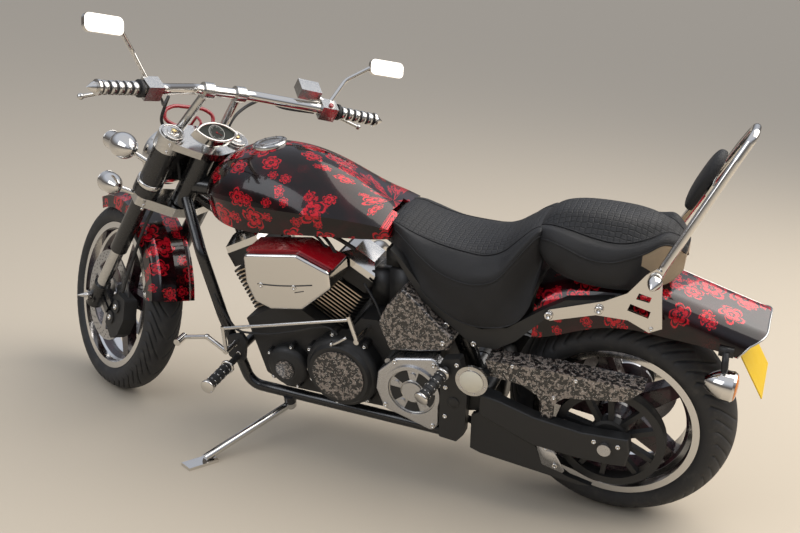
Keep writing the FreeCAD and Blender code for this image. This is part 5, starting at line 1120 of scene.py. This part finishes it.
PULLEY = (548, 201, 352)
WINDOWS = 5
WINDOW_FIRST = math.radians(126)
WINDOW_REACH = (36, 67)
WINDOW_SPAN = math.radians(42)
WINDOW_STEPS = 8
windows = []
for middle in turns(WINDOWS, WINDOW_FIRST):
    points = []
    for step in range(WINDOW_STEPS + 1):
        turn = middle + WINDOW_SPAN * (step / WINDOW_STEPS - 0.5)
        for reach in WINDOW_REACH:
            points.append((PULLEY[0] + reach * math.cos(turn), PULLEY[1] - 0.4,
                           PULLEY[2] + reach * math.sin(turn)))
    windows.append((points, [(2 * step, 2 * step + 1, 2 * step + 3, 2 * step + 2)
                             for step in range(WINDOW_STEPS)]))
add_small("Pulley_windows", windows, "satin")
add_small("Pulley_rings", [ring_mesh(70, 2, PULLEY, LEFT, 48), ring_mesh(34, 2, PULLEY, LEFT, 36)],
          "bright")
add_small("Holder_card", [disc_mesh(33, 11, 11.8, (372, 208.3, 440), LEFT, 40)], "card")
plate_line = [(190, 276), (149, 280), (103, 201), (108, 192), (167, 206)]
plate_points = [(x, y, z) for y in (192.8, 190.2) for x, z in plate_line]
plate_faces = [tuple(range(5)), tuple(range(9, 4, -1))]
plate_faces += [(index, index + 5, (index + 1) % 5 + 5, (index + 1) % 5) for index in range(5)]
add_small("Guard_plate", [(plate_points, plate_faces)], "steel")
add_small("Bracket_acorns", [
    turned_mesh([(17, 0), (19, 8), (17, 18), (11, 30), (4, 39), (0.5, 42)],
                (-68, 156.3 * way, 812), (0.1, way, -0.25), 24) for way in (1, -1)], "chrome")


# Footrests: end rings and the slits in their rubbers

# Start, way, first ring along, length and radius
PEGS = [
    ((447, 208, 456), (34, 104, -40), 14, 116.5, 17), ((1142, 140, 290), LEFT, 64, 184, 17),
]
SLIT_ROWS = 4
SLIT_COLUMNS = 8
rings = []
slits = []
for place, direction, first, length, radius in PEGS:
    for side in (1, -1):
        start = mirrored(place, side)
        way = mirrored(direction, side).normalized()
        out = Vector(UP).cross(way).normalized()
        rise = way.cross(out)
        for low, high in ((first - 1, first + 9), (length - 8, length + 4)):
            rings.append(turned_mesh([(radius + 2, low), (radius + 4.4, low + 2),
                                      (radius + 4.4, high - 2), (radius + 2, high)], start, way, 28))
        for row in range(SLIT_ROWS):
            along = first + (length - first) * (0.18 + 0.21 * row)
            for column in range(SLIT_COLUMNS):
                turn = 2 * math.pi * (column + 0.5 * (row % 2)) / SLIT_COLUMNS
                line = [start + way * along
                        + (out * math.cos(part) + rise * math.sin(part)) * (radius + 0.4)
                        for part in (turn, turn + 0.22, turn + 0.44)]
                slits.append(cord_mesh(line, 1.5, 6))
add_small("Peg_rings", rings, "chrome")
add_small("Peg_slits", slits, "bright")


# Fender trim and the rear signals' stalks

FAR_EDGE = [(x, -106, z) for x, z in ((-60, 734), (-110, 719), (-193, 696), (-270, 675), (-322, 661))]
NEAR_TAIL = [(-346, 0, 674), (-346, 60, 673.5), (-340, 84.5, 669.7), (-330, 98.3, 663.6),
             (-320, 106.7, 657.5), (-311, 112, 652), (-300, 118.5, 638), (-290, 120, 625.3),
             (-286, 120, 619)]
TAIL_EDGE = [(x, -y, z) for x, y, z in NEAR_TAIL[:0:-1]] + NEAR_TAIL
add_small("Fender_trim", [hose_mesh(FAR_EDGE, 2.0, 4), hose_mesh(TAIL_EDGE, 2.6, 3)], "bright")
stalks = []
for side in (1, -1):
    stalks.append(box_mesh((-258, 125.6 * side, 634), (36, 10.6, 24)))
    stalks.append(hose_mesh([(-258, 129 * side, 634), (-263.4, 147.5 * side, 574)], 9, 2, 12))
add_small("Signal_stalks", stalks, "satin")


# Filler cap: low, and tilted with the tank

CAP = Vector((1073, 0, 944))
CAP_SLOPE = 0.2
CAP_BOLTS_REACH = 42
CAP_PROFILE = [(50, -16), (50, 2), (47, 4.5), (38, 5), (36, 3.5), (33, 3.5), (31, 5), (14, 5.5)]
cap_up = Vector((CAP_SLOPE, 0, 0.98))
make("Filler_cap", "chassis", *turned_mesh(CAP_PROFILE, CAP, cap_up, 48), "bright", "aluminium",
     ("fuel_cap",))
cap_bolts = []
for turn in turns(8):
    forward, left = CAP_BOLTS_REACH * math.cos(turn), CAP_BOLTS_REACH * math.sin(turn)
    cap_bolts.append(bolt_mesh(CAP + Vector((forward, left, -forward * CAP_SLOPE)) + cap_up * 4,
                               cap_up, 2.6, 2))
add_small("Filler_cap_bolts", cap_bolts, "satin")


# Painted shade: dark boxes seen through the gaps behind the rear cylinder, under the seat and behind
# the guard

add_small("Painted_shade_boxes_front", [
    box_mesh((630, 0, 590), (80, 150, 130)), box_mesh((700, 20, 575), (60, 80, 110)),
    box_mesh((650, 30, 690), (60, 90, 50))], "satin")
# These boxes too are painted shade, in the gaps under the pillion and behind the guard
add_small("Painted_shade_boxes_back", [
    box_mesh((285, 0, 640), (60, 150, 130)), box_mesh((370, -60, 262), (50, 80, 90))], "satin")


# Drilled brake discs

HOLES = 30
HOLE_RADIUS = 2.6
# How far each row of holes is from the disc's edge
HOLE_ROWS = (8, 16, 25)


def drilled(name, body, radius, faces_at):
    """Dark round marks where the disc is drilled, in rows on each face."""
    meshes = []
    for place, way in faces_at:
        for row, inset in enumerate(HOLE_ROWS):
            reach = radius - inset
            for index in range(HOLES):
                turn = 2 * math.pi * (index + row / len(HOLE_ROWS)) / HOLES
                centre = (reach * math.sin(turn), place, reach * math.cos(turn))
                meshes.append(disc_mesh(HOLE_RADIUS, 0.05, 0.25, centre, way, 8))
    add_small(name, meshes, "satin", body)


drilled("Front_disc_holes", "front_wheel", 149, ((68.5, LEFT), (-68.5, RIGHT)))
drilled("Rear_disc_holes", "rear_wheel", 141, ((-130.5, RIGHT),))
